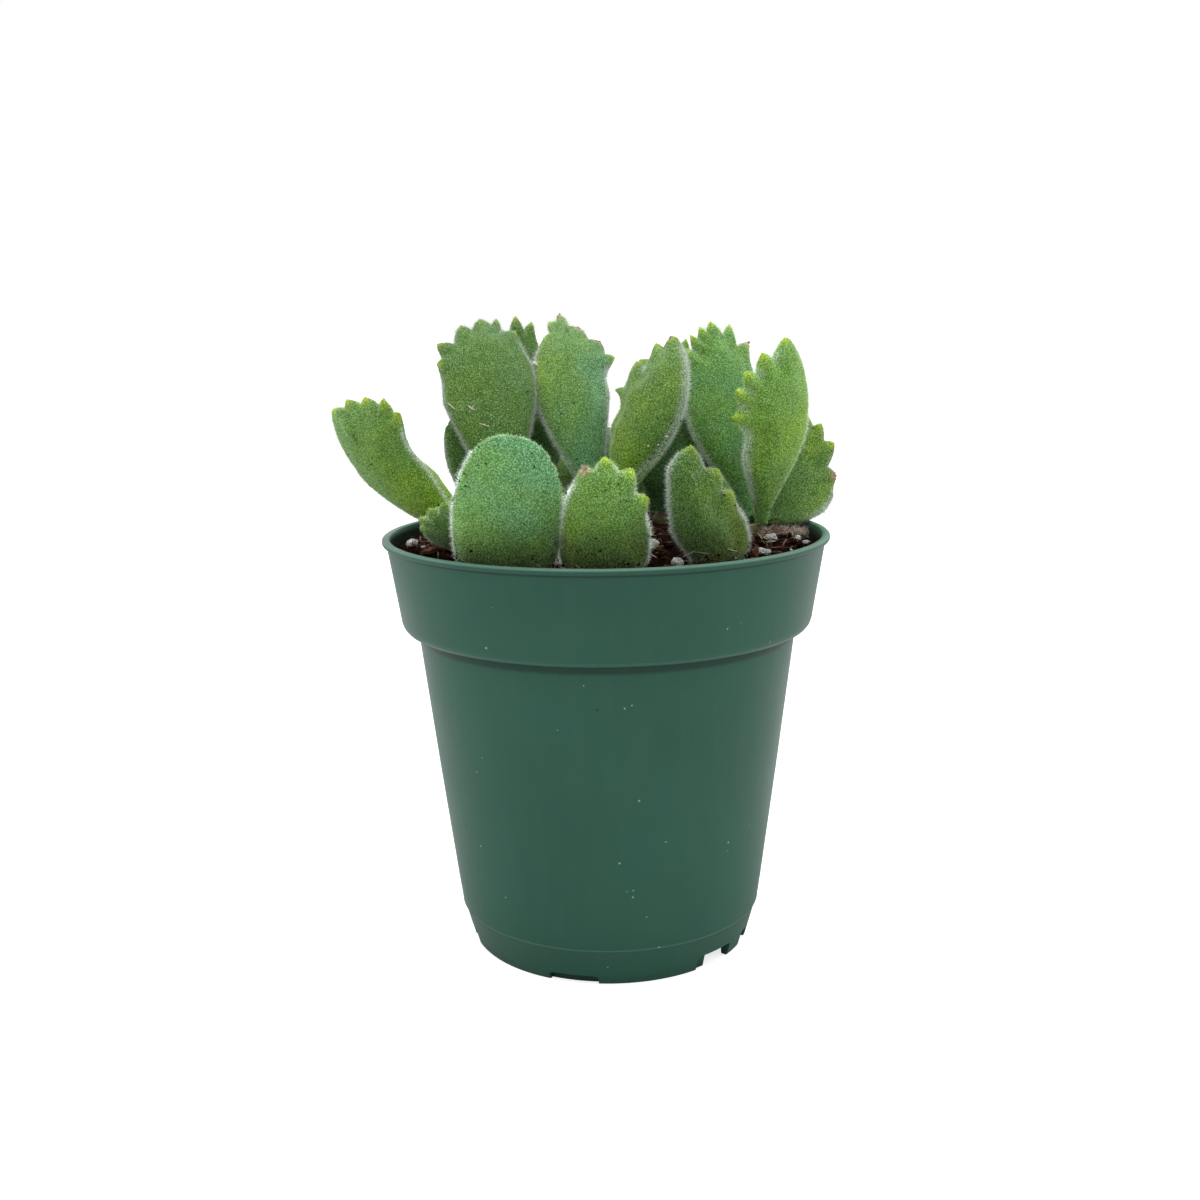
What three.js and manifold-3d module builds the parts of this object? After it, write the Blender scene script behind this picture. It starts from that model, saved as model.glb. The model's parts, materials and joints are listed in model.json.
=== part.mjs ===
// Bear's paw succulent (Cotyledon tomentosa) growing in a round nursery pot.
// Millimetres, +Z up. The pot is built on the Z axis with its foot at z = 0 and its front towards
// -Y. The finished plant is then shifted in plan, so that the middle of its box is the origin.
import * as THREE from 'three';
import { mergeVertices } from 'three/addons/utils/BufferGeometryUtils.js';
import Module from 'manifold-3d';

const wasm = await Module();
wasm.setup();

const DEG = Math.PI / 180;
const CLEAR = 0.3;              // gap kept between pieces that touch

// ---- pot: driving dimensions ----
const POT_HEIGHT = 98;
const RIM_RADIUS = 52;          // outside of the rolled lip
const LIP_HEIGHT = 1.3;
const LIP_PROUD = 1.0;          // lip beyond the band below it
const WALL = 1.0;
const BAND_LOW_RADIUS = 48.3;   // outside of the wide band at its lower end
const BAND_LOW_Z = 79.6;
const BODY_TOP_RADIUS = 44.4;   // tapered body where the band starts
const BODY_TOP_Z = 75.8;
const STEP_RADIUS = 36.2;       // body where it meets the foot ring
const STEP_Z = 9.2;
const FOOT_RADIUS = 33.4;
const FOOT_WALL = 1.7;
const FLOOR_Z = 3.8;            // underside of the raised floor
const FLOOR_THICK = 1.1;
const POT_SIDES = 48;

// Notches in the foot ring, each with a drain slot in the floor behind it. Angles are measured
// from the front (-Y), positive to the right.
const NOTCHES = [
  { angle: -14.7, spread: 19.6, height: 2.0 },
  { angle: 57.3, spread: 42, height: 3.4 },
  { angle: 129.3, spread: 42, height: 3.4 },
  { angle: 201.3, spread: 42, height: 3.4 },
  { angle: 273.3, spread: 42, height: 3.4 },
];
const SLOT_INNER_RADIUS = 23;
const SLOT_OUTER_RADIUS = 30;
const SLOT_SPREAD = 17;

// ---- soil ----
const SOIL_LEVEL = 94.2;
const SOIL_MOUND = { x: 7, y: 17, height: 2.8, reach: 9 };
const SOIL_FRONT_DIP = { from: 0.5, over: 9.5, depth: 7 };
const SOIL_RINGS = 10;
const STEM_HOLE_FLOOR = 82;

// ---- stems: place in plan, radius, crown radius, height of the top ----
const STEM_SIDES = 14;
const STEMS = {
  left: { x: -23.5, y: -3, radius: 3.4, crown: 3.6, top: 101 },
  middle: { x: 0, y: -1, radius: 3.4, crown: 3.6, top: 101 },
  right: { x: 36.5, y: 11.5, radius: 2.2, crown: 2.4, top: 97.5 },
  front_right: { x: 25, y: -3, radius: 3, crown: 3.2, top: 98 },
  back_left: { x: -20, y: 30, radius: 3, crown: 3.2, top: 99.5 },
  back_right: { x: 15, y: 28, radius: 3, crown: 3.2, top: 98.6 },
};

// ---- leaves ----
const STALK_WIDTH = 0.14;       // half width of the root, as a share of the leaf's width
const STALK_THICK = 0.19;       // half thickness of the root, as a share of the thickness
const STALK_LIMIT = 2.8;
const TOP_SEAT_OFFSET = 2.2;    // a top leaf's root beside the stem's axis
const EDGE_HALF = 0.4;          // half the thickness of the margin
const HALF_COLUMNS = 14;        // outline columns from the root to the apex, each side
const RINGS = [1, 0.8, 0.45];   // from the margin inwards, before the midrib
const MIDRIB_SHARE = 0.87;      // the midrib ends short of the apex
const MIDRIB_STEP = 0.4;        // least step between its points
const STATIONS = 24;
const DEFAULTS = { bend: 0, early: 0, sway: 0, roll: 0, roundBase: 0, skew: 0, notch: 1.6 };

// heading: direction the leaf leans to, degrees anticlockwise from +X seen from above.
// lean: tilt from upright at the root. bend: turn away from the upper face over the length, with
// `early` near 1 putting it close to the root. sway: turn in the blade's plane. roll: blade
// turned about its own length. teeth: [across, along] of each tooth's tip, left to right as seen
// from outside the plant. seat z is given for leaves on a stem's side; the others sit on its top.
const LEAVES = [
  { name: 'leaf_left_outer', stem: 'left', z: 97.5, heading: 198, lean: 61, bend: -38, sway: 6,
    roll: 37, length: 44.5, width: 18.4, thickness: 9.2, widest: 0.7, skew: -0.8,
    teeth: [[-5.4, 45], [0, 45], [5.8, 43], [11, 40.4], [12.8, 35.6]] },
  { name: 'leaf_left_small', stem: 'left', z: 95, heading: -124, lean: 79, bend: -30, sway: 7,
    roll: 12, length: 28, width: 12, thickness: 4.6, widest: 0.75, notch: 1.2,
    teeth: [[-5, 21.5], [-3, 25], [1.2, 27.8], [6, 29.6]] },
  { name: 'leaf_front_left', stem: 'left', z: 93.5, heading: -86, lean: 110, bend: -93, early: 0.9,
    sway: -2, roll: -7, length: 52, width: 22.6, thickness: 9.2, widest: 0.62, roundBase: 1,
    notch: 0.5, teeth: [[-4.8, 50.8], [0.3, 51.9], [5.3, 50.4], [7.8, 47.5], [9.6, 43.6]] },
  { name: 'leaf_front_middle', stem: 'middle', z: 93.5, heading: -91, lean: 111, bend: -86,
    early: 0.9, sway: 6, roll: 6, length: 49.5, width: 19, thickness: 9, widest: 0.5,
    roundBase: 1, teeth: [[-3.8, 47.5], [0.8, 49.5], [6.5, 46], [9.6, 38.2]] },
  { name: 'leaf_front_right', stem: 'front_right', z: 93.5, heading: -94, lean: 100, bend: -82,
    early: 0.8, sway: 3, roll: 25, length: 46.5, width: 16.5, thickness: 9, widest: 0.36,
    roundBase: 0.8, teeth: [[-2, 46], [2, 45.8], [5.9, 38.1], [7.3, 31.5]] },
  { name: 'leaf_tall_left', stem: 'left', heading: 100, lean: 20, bend: 24, sway: 7,
    length: 52.5, width: 23, thickness: 9, widest: 0.66,
    teeth: [[-9.5, 48.7], [-5.8, 53.4], [-1.7, 54], [3.4, 52.6], [10, 47.5], [11, 41]] },
  { name: 'leaf_left_back', stem: 'left', z: 98.5, heading: 112, lean: 68, bend: -72, length: 36,
    width: 15.5, thickness: 7, widest: 0.66,
    teeth: [[-5, 32], [-1.2, 35.8], [3.2, 35.2], [6.4, 31]] },
  { name: 'leaf_tall_middle', stem: 'middle', heading: 128, lean: 22, bend: 32, sway: -20,
    roll: -34, length: 55.5, width: 18.3, thickness: 8.4, widest: 0.64, notch: 1.8,
    teeth: [[-11.4, 42], [-7.9, 48], [-3.1, 53], [2.4, 59], [5.2, 55.8], [6, 50]] },
  { name: 'leaf_centre', stem: 'middle', heading: -4, lean: 13, bend: 20, roll: 45,
    length: 42.5, width: 19.8, thickness: 8.8, widest: 0.6, notch: 2,
    teeth: [[3.4, 43.7], [6.4, 40], [10.9, 35.2], [13.4, 27.2]] },
  { name: 'leaf_centre_young', stem: 'middle', z: 100, heading: 78, lean: 62, bend: -64,
    length: 28, width: 10, thickness: 5, widest: 0.62, notch: 1,
    teeth: [[-3, 25.6], [0, 28], [3, 25.8]] },
  { name: 'leaf_middle_low', stem: 'middle', z: 98.5, heading: 176, lean: 50, bend: -30,
    length: 24, width: 12, thickness: 6, widest: 0.62, notch: 1.2,
    teeth: [[-4, 22], [0, 24.5], [4, 22.5]] },
  { name: 'leaf_tall_right', stem: 'right', heading: 122, lean: 28, bend: -16, sway: -3, roll: -6,
    length: 50, width: 21.4, thickness: 8.8, widest: 0.54, stalk: 1.8,
    teeth: [[-9.8, 45], [-4.8, 49.7], [0.7, 50.5], [3.8, 49.1], [6.6, 47.1], [9.2, 43.5]] },
  { name: 'leaf_right_front', stem: 'right', heading: -63, lean: 8, bend: 4, sway: 4, roll: 7,
    length: 43, width: 18.6, thickness: 9, widest: 0.55, skew: 0.9, notch: 2, stalk: 1.35,
    teeth: [[-12.6, 26], [-12.9, 32.2], [-11, 36.4], [-7, 41], [-0.8, 44.8]] },
  { name: 'leaf_right_back', stem: 'right', z: 97, heading: 49, lean: 56, bend: -40, early: 0.5,
    sway: 3, roll: 21, length: 30.5, width: 24.4, thickness: 8, widest: 0.32, roundBase: 1,
    teeth: [[-11.2, 18.2], [-8.3, 26], [-3.8, 30], [0, 31], [5, 29.6], [9, 24.5]] },
  { name: 'leaf_front_right_young', stem: 'front_right', heading: 92, lean: 8, length: 13,
    width: 8.5, thickness: 4.5, widest: 0.6, notch: 0.9,
    teeth: [[-2.4, 12], [0.2, 13.4], [2.6, 12]] },
  { name: 'leaf_back_left_tall', stem: 'back_left', heading: 118, lean: 7, bend: -3, sway: -3,
    roll: 9, length: 47.5, width: 17, thickness: 7.5, widest: 0.62, notch: 2.4,
    teeth: [[-4.6, 47], [0.3, 48.2], [5.2, 44.5]] },
  { name: 'leaf_back_left_inner', stem: 'back_left', heading: -44, lean: 16, bend: -8, length: 27,
    width: 14, thickness: 6.5, widest: 0.62,
    teeth: [[-5, 24], [-1.5, 27.5], [2.5, 27], [5.5, 23]] },
  { name: 'leaf_back_right_tall', stem: 'back_right', heading: 88, lean: 8, bend: 6,
    length: 43.5, width: 21, thickness: 8, widest: 0.62,
    teeth: [[-9.4, 38], [-5.8, 43.4], [-2, 44], [2, 42.3], [6, 38]] },
  { name: 'leaf_back_right_inner', stem: 'back_right', heading: -104, lean: 7, bend: -3,
    length: 27, width: 16, thickness: 6.5, widest: 0.6, stalk: 2.8,
    teeth: [[-5.4, 23.6], [-2, 27.4], [2.2, 27.2], [5.6, 23.8]] },
  { name: 'leaf_back_1', stem: 'back_left', z: 97.2, heading: 142, lean: 60, bend: -44, length: 34,
    width: 18, thickness: 8.5, widest: 0.64,
    teeth: [[-8.1, 29.5], [-4.5, 34], [0.5, 35.5], [5.5, 33.5], [8.3, 29]] },
  { name: 'leaf_back_2', stem: 'back_left', z: 97.2, heading: 70, lean: 58, bend: -40, length: 39,
    width: 21, thickness: 9, widest: 0.64, roll: 6,
    teeth: [[-9.5, 32.5], [-5, 37.5], [0.5, 39.5], [6, 37.5], [9.8, 32]] },
  { name: 'leaf_back_3', stem: 'back_right', z: 97.3, heading: 98, lean: 62, bend: -44,
    length: 36, width: 19, thickness: 8.5, widest: 0.62, roll: -8,
    teeth: [[-8.4, 30], [-4, 35], [1, 36.5], [5.6, 34.4], [8.8, 29]] },
  { name: 'leaf_back_4', stem: 'back_right', z: 97.3, heading: 22, lean: 60, bend: -36, length: 25,
    width: 14, thickness: 7, widest: 0.6, notch: 1.3,
    teeth: [[-5.6, 21.4], [-2, 24.6], [2, 25], [5.6, 21.9]] },
];

// ---- small pieces lying on the soil: place in plan, size ----
const PERLITE = [
  { x: -46, y: 4, size: 1.3 },
  { x: 11, y: -2, size: 1.7 },
  { x: 18.5, y: 0, size: 1.2 },
  { x: 39, y: 3, size: 1.6 },
  { x: 45.5, y: 4, size: 1.1 },
];
const BARK = [
  { name: 'bark_chip_1', x: 43, y: 9, length: 9, width: 2.4, turn: 4 },
  { name: 'bark_chip_2', x: -41, y: -4, length: 5.5, width: 2.2, turn: 62 },
];

// ---- materials ----
const paint = (color, roughness) =>
  new THREE.MeshStandardMaterial({ color, roughness, metalness: 0 });
const POT_GREEN = paint(0x3c5a48, 0.42);
const PEAT = paint(0x33231d, 0.95);
const LEAF_GREEN = paint(0x5f8c4b, 0.62);
const STEM_GREEN = paint(0x77793f, 0.75);
const PERLITE_WHITE = paint(0xe9e8e2, 0.9);
const BARK_BROWN = paint(0x7c5238, 0.9);

const clamp01 = (t) => Math.min(1, Math.max(0, t));
const smooth = (t) => clamp01(t) ** 2 * (3 - 2 * clamp01(t));
const mix = (a, b, t) => a + (b - a) * t;

// ---- solids in and out of manifold-3d ----
function toSolid(geometry) {
  const bare = geometry.index ? geometry.clone() : geometry;
  bare.deleteAttribute('normal');
  bare.deleteAttribute('uv');
  const merged = mergeVertices(bare, 1e-4);
  const triVerts = Uint32Array.from(merged.index.array);
  const vertProperties = Float32Array.from(merged.attributes.position.array);
  return new wasm.Manifold(new wasm.Mesh({ numProp: 3, vertProperties, triVerts }));
}

function toGeometry(solid) {
  const { vertProperties, triVerts } = solid.getMesh();
  return facets(Array.from(vertProperties), Array.from(triVerts));
}

function facets(positions, index) {
  const geometry = new THREE.BufferGeometry();
  geometry.setAttribute('position', new THREE.Float32BufferAttribute(positions, 3));
  geometry.setIndex(index);
  geometry.computeVertexNormals();
  return geometry;
}

// A profile of [radius, z] turned about the Z axis.
function turned(profile, sides) {
  const points = profile.map(([radius, z]) => new THREE.Vector2(radius, z));
  return new THREE.LatheGeometry(points, sides).rotateX(Math.PI / 2);
}

function named(name, geometry, material) {
  const mesh = new THREE.Mesh(geometry, material);
  mesh.name = name;
  return mesh;
}

// ---- pot ----
// Inside of the wall, from the floor's edge up to the lip.
const INNER_WALL = [
  [STEP_RADIUS - WALL - 0.9, FLOOR_Z + FLOOR_THICK],
  [STEP_RADIUS - WALL, STEP_Z + 0.6],
  [BODY_TOP_RADIUS - WALL, BODY_TOP_Z + 0.5],
  [BAND_LOW_RADIUS - WALL - 1.2, BODY_TOP_Z + 1.8],
  [BAND_LOW_RADIUS - WALL, BAND_LOW_Z],
  [RIM_RADIUS - LIP_PROUD - WALL, POT_HEIGHT - LIP_HEIGHT],
];

function potProfile() {
  const footInner = FOOT_RADIUS - FOOT_WALL;
  const bandTop = RIM_RADIUS - LIP_PROUD;
  return [
    [0, FLOOR_Z],
    [footInner + 0.3, FLOOR_Z],
    [footInner, 0],
    [FOOT_RADIUS, 0],
    [STEP_RADIUS - 0.35, STEP_Z],
    [STEP_RADIUS, STEP_Z + 0.25],
    [BODY_TOP_RADIUS, BODY_TOP_Z],
    [BAND_LOW_RADIUS - 1.5, BODY_TOP_Z + 0.9],
    [BAND_LOW_RADIUS - 0.4, BODY_TOP_Z + 2.1],
    [BAND_LOW_RADIUS, BAND_LOW_Z],
    [bandTop, POT_HEIGHT - LIP_HEIGHT],
    [RIM_RADIUS, POT_HEIGHT - LIP_HEIGHT + 0.2],
    [RIM_RADIUS, POT_HEIGHT - 0.35],
    [RIM_RADIUS - 0.35, POT_HEIGHT],
    [bandTop - WALL + 0.6, POT_HEIGHT],
    ...INNER_WALL.toReversed(),
    [0, FLOOR_Z + FLOOR_THICK],
  ];
}

// A block that covers the ring sector between two radii, centred on an angle from the front.
function sector(angle, spread, innerRadius, outerRadius, lowZ, highZ) {
  const shape = new THREE.Shape();
  const half = (spread / 2) * DEG;
  shape.absarc(0, 0, outerRadius, -half, half, false);
  shape.absarc(0, 0, innerRadius, half, -half, true);
  const block = new THREE.ExtrudeGeometry(shape, {
    depth: highZ - lowZ, bevelEnabled: false, curveSegments: 6,
  });
  return toSolid(block.translate(0, 0, lowZ).rotateZ((angle - 90) * DEG));
}

function pot() {
  let body = toSolid(turned(potProfile(), POT_SIDES));
  for (const { angle, spread, height } of NOTCHES) {
    body = body.subtract(sector(angle, spread, FOOT_RADIUS - 5, FOOT_RADIUS + 5, -1, height));
    body = body.subtract(sector(angle, SLOT_SPREAD, SLOT_INNER_RADIUS, SLOT_OUTER_RADIUS,
      FLOOR_Z - 1, FLOOR_Z + FLOOR_THICK + 1));
  }
  return named('pot', toGeometry(body), POT_GREEN);
}

// ---- soil ----
function soilHeight(x, y) {
  const mound = SOIL_MOUND;
  const away = ((x - mound.x) ** 2 + (y - mound.y) ** 2) / (2 * mound.reach ** 2);
  const dip = SOIL_FRONT_DIP;
  const lumps = 0.45 * Math.sin(0.55 * x + 1.3) * Math.sin(0.6 * y + 0.4)
    + 0.25 * Math.sin(1.1 * x - 0.7 * y);
  return SOIL_LEVEL + mound.height * Math.exp(-away)
    - dip.depth * smooth((dip.from - y) / dip.over) + lumps;
}

// Radius of the pot's inside at a height.
function innerRadius(z) {
  let k = 1;
  while (k < INNER_WALL.length - 1 && INNER_WALL[k][1] < z) k += 1;
  const [[r0, z0], [r1, z1]] = [INNER_WALL[k - 1], INNER_WALL[k]];
  return mix(r0, r1, (z - z0) / (z1 - z0));
}

function soil() {
  const rings = [];
  const floor = FLOOR_Z + FLOOR_THICK + CLEAR;
  const ring = (radiusAt, zAt) => Array.from({ length: POT_SIDES }, (_, i) => {
    // same corners as the pot's wall, so the two sets of facets stay parallel
    const a = (i / POT_SIDES) * 2 * Math.PI;
    const radius = radiusAt(a);
    const [x, y] = [radius * Math.sin(a), radius * Math.cos(a)];
    return [x, y, zAt(x, y)];
  });
  rings.push(ring(() => innerRadius(floor) - 2 * CLEAR, () => floor));
  for (const [radius, z] of INNER_WALL.slice(1, -1)) {
    rings.push(ring(() => radius - 1.5 * CLEAR, () => z));
  }
  const wallRadius = RIM_RADIUS - LIP_PROUD - 2 * WALL;
  const brim = (a) => {
    const height = soilHeight(wallRadius * Math.sin(a), wallRadius * Math.cos(a));
    return innerRadius(height - 0.6) - CLEAR;
  };
  for (let k = SOIL_RINGS; k > 0; k -= 1) {
    rings.push(ring((a) => (brim(a) * k) / SOIL_RINGS, soilHeight));
  }
  const positions = rings.flat(2);
  const index = [];
  for (let k = 0; k + 1 < rings.length; k += 1) {
    for (let i = 0; i < POT_SIDES; i += 1) {
      const next = (i + 1) % POT_SIDES;
      const [a, b] = [k * POT_SIDES + i, k * POT_SIDES + next];
      const [c, d] = [b + POT_SIDES, a + POT_SIDES];
      index.push(a, c, b, a, d, c);
    }
  }
  const bottom = positions.length / 3;
  positions.push(0, 0, floor, 0, 0, soilHeight(0, 0));
  const lastRing = (rings.length - 1) * POT_SIDES;
  for (let i = 0; i < POT_SIDES; i += 1) {
    const next = (i + 1) % POT_SIDES;
    index.push(bottom, i, next, bottom + 1, lastRing + next, lastRing + i);
  }
  let body = toSolid(facets(positions, index));
  for (const { x, y, radius } of Object.values(STEMS)) {
    const depth = POT_HEIGHT + 10 - STEM_HOLE_FLOOR;
    const hole = new THREE.CylinderGeometry(radius + CLEAR, radius + CLEAR, depth, STEM_SIDES)
      .rotateX(Math.PI / 2).translate(x, y, STEM_HOLE_FLOOR + depth / 2);
    body = body.subtract(toSolid(hole));
  }
  return named('soil', toGeometry(body), PEAT);
}

// ---- stems ----
function stem(name) {
  const { radius, crown, top, x, y } = STEMS[name];
  const profile = [
    [0, STEM_HOLE_FLOOR + CLEAR],
    [radius - 0.2, STEM_HOLE_FLOOR + CLEAR],
    [radius, STEM_HOLE_FLOOR + 1.5],
    [radius * 0.94, top - 5],
    [crown, top - 1.6],
    [crown - 0.3, top - 0.4],
    [crown - 0.9, top],
    [0, top],
  ];
  const mesh = named(`stem_${name}`, turned(profile, STEM_SIDES), STEM_GREEN);
  mesh.position.set(x, y, 0);
  return mesh;
}

// ---- leaves ----
const stalkThick = (leaf) => STALK_THICK * leaf.thickness;
const stalkWidth = (leaf) => Math.min(STALK_LIMIT, leaf.stalk ?? STALK_WIDTH * leaf.width);

// Where the leaf's root sits, so that it clears the stem that carries it.
function leafRoot(leaf) {
  const { x, y, crown, top } = STEMS[leaf.stem];
  const onTop = leaf.z === undefined;
  const thick = stalkThick(leaf);
  const reach = onTop
    ? TOP_SEAT_OFFSET
    : crown + CLEAR + thick * Math.abs(Math.cos(leaf.lean * DEG));
  const z = onTop ? top + CLEAR + thick * Math.sin(leaf.lean * DEG) : leaf.z;
  const heading = leaf.heading * DEG;
  return new THREE.Vector3(x + reach * Math.cos(heading), y + reach * Math.sin(heading), z);
}

// Stations along the leaf's spine, with the leaf leaning towards +X from the origin. Each has a
// place, the direction along the leaf, the upper face's normal and the direction across.
function spine(leaf) {
  const lean = leaf.lean * DEG;
  const along = new THREE.Vector3(Math.sin(lean), 0, Math.cos(lean));
  const face = new THREE.Vector3(-Math.cos(lean), 0, Math.sin(lean));
  const across = new THREE.Vector3().crossVectors(face, along);
  const place = new THREE.Vector3();
  const stations = [];
  for (let i = 0; i <= STATIONS; i += 1) {
    const t = i / STATIONS;
    const roll = leaf.roll * DEG * smooth(t / 0.45);
    const rolledFace = face.clone().applyAxisAngle(along, roll);
    const rolledAcross = across.clone().applyAxisAngle(along, roll);
    stations.push({
      place: place.clone(), along: along.clone(), face: rolledFace, across: rolledAcross,
    });
    const share = 1 + leaf.early * (1 - 2 * (t + 0.5 / STATIONS));
    const bend = (leaf.bend * DEG * share) / STATIONS;
    const sway = (leaf.sway * DEG) / STATIONS;
    const stride = along.clone().applyAxisAngle(rolledAcross, bend / 2)
      .applyAxisAngle(rolledFace, sway / 2);
    place.addScaledVector(stride, leaf.length / STATIONS);
    for (const v of [along, face, across]) {
      v.applyAxisAngle(rolledAcross, bend).applyAxisAngle(rolledFace, sway);
    }
  }
  return stations;
}

function onSpine(stations, leaf, alongMm, acrossMm, liftMm) {
  const t = clamp01(alongMm / leaf.length) * STATIONS;
  const i = Math.min(Math.floor(t), STATIONS - 1);
  const [a, b] = [stations[i], stations[i + 1]];
  const f = t - i;
  const point = a.place.clone().lerp(b.place, f);
  point.addScaledVector(b.along, Math.max(0, alongMm - leaf.length));
  point.addScaledVector(a.across.clone().lerp(b.across, f).normalize(), acrossMm);
  point.addScaledVector(a.face.clone().lerp(b.face, f).normalize(), liftMm);
  return point;
}

// Half the leaf's thickness at its middle, at a fraction of the length.
function halfThickness(leaf, t) {
  const rise = mix(stalkThick(leaf), leaf.thickness / 2, smooth(t / 0.4));
  return rise * Math.sqrt(1 - 0.9 * clamp01((t - 0.45) / 0.55) ** 2.2);
}

// One flank of the outline, from the root up to its first tooth.
function flank(leaf, tooth, side, count) {
  const half = leaf.width / 2 + side * leaf.skew;
  const [toothAcross, toothAlong] = tooth;
  const widestAlong = Math.min(leaf.widest * leaf.length, toothAlong - 4);
  const points = [];
  for (let i = 0; i < count; i += 1) {
    const along = (toothAlong * i) / count;
    const up = clamp01(along / widestAlong);
    const base = mix(smooth(up), Math.sqrt(1 - (1 - up) ** 2), leaf.roundBase);
    let out = mix(stalkWidth(leaf), half, base);
    if (along > widestAlong) {
      const over = (along - widestAlong) / (toothAlong - widestAlong);
      out = mix(side * toothAcross, half, (1 - over ** 2) ** 0.7);
    }
    points.push([side * out, along]);
  }
  return points;
}

// Outline from the left of the root, over the teeth, to the right of the root, with the apex in
// the middle of the list.
function outline(leaf) {
  const { teeth, notch } = leaf;
  const apex = teeth.reduce((best, tooth, i) => (tooth[1] > teeth[best][1] ? i : best), 0);
  const points = flank(leaf, teeth[0], -1, HALF_COLUMNS - 2 * apex);
  teeth.forEach((tooth, i) => {
    points.push(tooth);
    if (i + 1 < teeth.length) {
      const next = teeth[i + 1];
      const run = Math.hypot(next[0] - tooth[0], next[1] - tooth[1]);
      points.push([
        (tooth[0] + next[0]) / 2 + (notch * (next[1] - tooth[1])) / run,
        (tooth[1] + next[1]) / 2 - (notch * (next[0] - tooth[0])) / run,
      ]);
    }
  });
  const rightCount = HALF_COLUMNS - 2 * (teeth.length - 1 - apex);
  points.push(...flank(leaf, teeth.at(-1), 1, rightCount).reverse());
  return points;
}

// Places of the midrib's points along the leaf: between the outline's left and right points.
function midribAlong(rim) {
  let reached = -1;
  return Array.from({ length: HALF_COLUMNS + 1 }, (_, i) => {
    const mean = (rim[i][1] + rim[rim.length - 1 - i][1]) / 2;
    reached = i === 0 ? 0 : Math.max(MIDRIB_SHARE * mean, reached + MIDRIB_STEP);
    return reached;
  });
}

// The leaf as a thick pillow on its outline: rings step in from the margin to the midrib, alike
// on both faces, and a small flat end closes the root.
function leafMesh(spec) {
  const leaf = { ...DEFAULTS, ...spec };
  const stations = spine(leaf);
  const rim = outline(leaf);
  const columns = rim.length;
  const positions = [];
  const add = (across, along, lift) => {
    positions.push(...onSpine(stations, leaf, along, across, lift).toArray());
    return positions.length / 3 - 1;
  };
  const faces = [1, -1].map((side) => {
    const midrib = midribAlong(rim).map((along) => (
      { along, id: add(0, along, side * halfThickness(leaf, along / leaf.length)) }));
    const columnIds = rim.map(([across, along], j) => {
      const mid = midrib[Math.min(j, columns - 1 - j)];
      const ids = RINGS.map((r) => {
        const at = mix(mid.along, along, r);
        const full = halfThickness(leaf, at / leaf.length) * Math.sqrt(1 - r * r);
        return add(across * r, at, side * Math.max(full, r === 1 ? EDGE_HALF : EDGE_HALF * 1.3));
      });
      return [...ids, mid.id];
    });
    return columnIds;
  });
  const index = [];
  const quad = (a, b, c, d) => index.push(a, b, c, a, c, d);
  const [upper, lower] = faces;
  for (let j = 0; j + 1 < columns; j += 1) {
    for (let k = 0; k < RINGS.length; k += 1) {
      quad(upper[j][k], upper[j + 1][k], upper[j + 1][k + 1], upper[j][k + 1]);
      quad(lower[j][k], lower[j][k + 1], lower[j + 1][k + 1], lower[j + 1][k]);
    }
    quad(upper[j][0], lower[j][0], lower[j + 1][0], upper[j + 1][0]);
  }
  const last = columns - 1;
  const rootLoop = [
    ...upper[0], ...upper[last].slice(0, -1).reverse(),
    ...lower[last], ...lower[0].slice(0, -1).reverse(),
  ];
  const centre = add(0, 0, 0);
  rootLoop.forEach((id, i) => index.push(centre, id, rootLoop[(i + 1) % rootLoop.length]));
  const mesh = named(leaf.name, facets(positions, index), LEAF_GREEN);
  mesh.position.copy(leafRoot(leaf));
  mesh.rotation.z = leaf.heading * DEG;
  return mesh;
}

// ---- small pieces on the soil ----
// Height at which a piece of this reach clears the soil under it.
function restingHeight(x, y, reach) {
  let high = -Infinity;
  for (let i = 0; i < 16; i += 1) {
    const a = (i / 16) * 2 * Math.PI;
    for (const share of [0, 0.5, 1]) {
      const height = soilHeight(x + share * reach * Math.cos(a), y + share * reach * Math.sin(a));
      high = Math.max(high, height);
    }
  }
  return high + CLEAR;
}

function perlite({ x, y, size }, i) {
  const grain = new THREE.IcosahedronGeometry(size, 1).scale(1, 0.8, 0.7);
  const mesh = named(`perlite_${i + 1}`, mergeVertices(grain), PERLITE_WHITE);
  mesh.position.set(x, y, restingHeight(x, y, size * 0.6) + size * 0.7 - CLEAR);
  mesh.rotation.z = i;
  return mesh;
}

function bark({ name, x, y, length, width, turn }) {
  const thick = width * 0.45;
  const shape = new THREE.Shape();
  shape.moveTo(-length / 2, -width * 0.2);
  shape.lineTo(-length * 0.2, -width / 2);
  shape.lineTo(length * 0.36, -width * 0.4);
  shape.lineTo(length / 2, width * 0.1);
  shape.lineTo(length * 0.1, width / 2);
  shape.lineTo(-length * 0.4, width * 0.36);
  const chip = new THREE.ExtrudeGeometry(shape, { depth: thick, bevelEnabled: false });
  const mesh = named(name, chip, BARK_BROWN);
  mesh.position.set(x, y, restingHeight(x, y, length / 2));
  mesh.rotation.z = turn * DEG;
  return mesh;
}

const plant = new THREE.Group();
plant.add(pot(), soil());
plant.add(...Object.keys(STEMS).map(stem));
plant.add(...LEAVES.map(leafMesh));
plant.add(...PERLITE.map(perlite));
plant.add(...BARK.map(bark));

const middle = new THREE.Box3().setFromObject(plant, true).getCenter(new THREE.Vector3());
for (const mesh of plant.children) {
  mesh.position.x -= middle.x;
  mesh.position.y -= middle.y;
}

export default plant;
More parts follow.
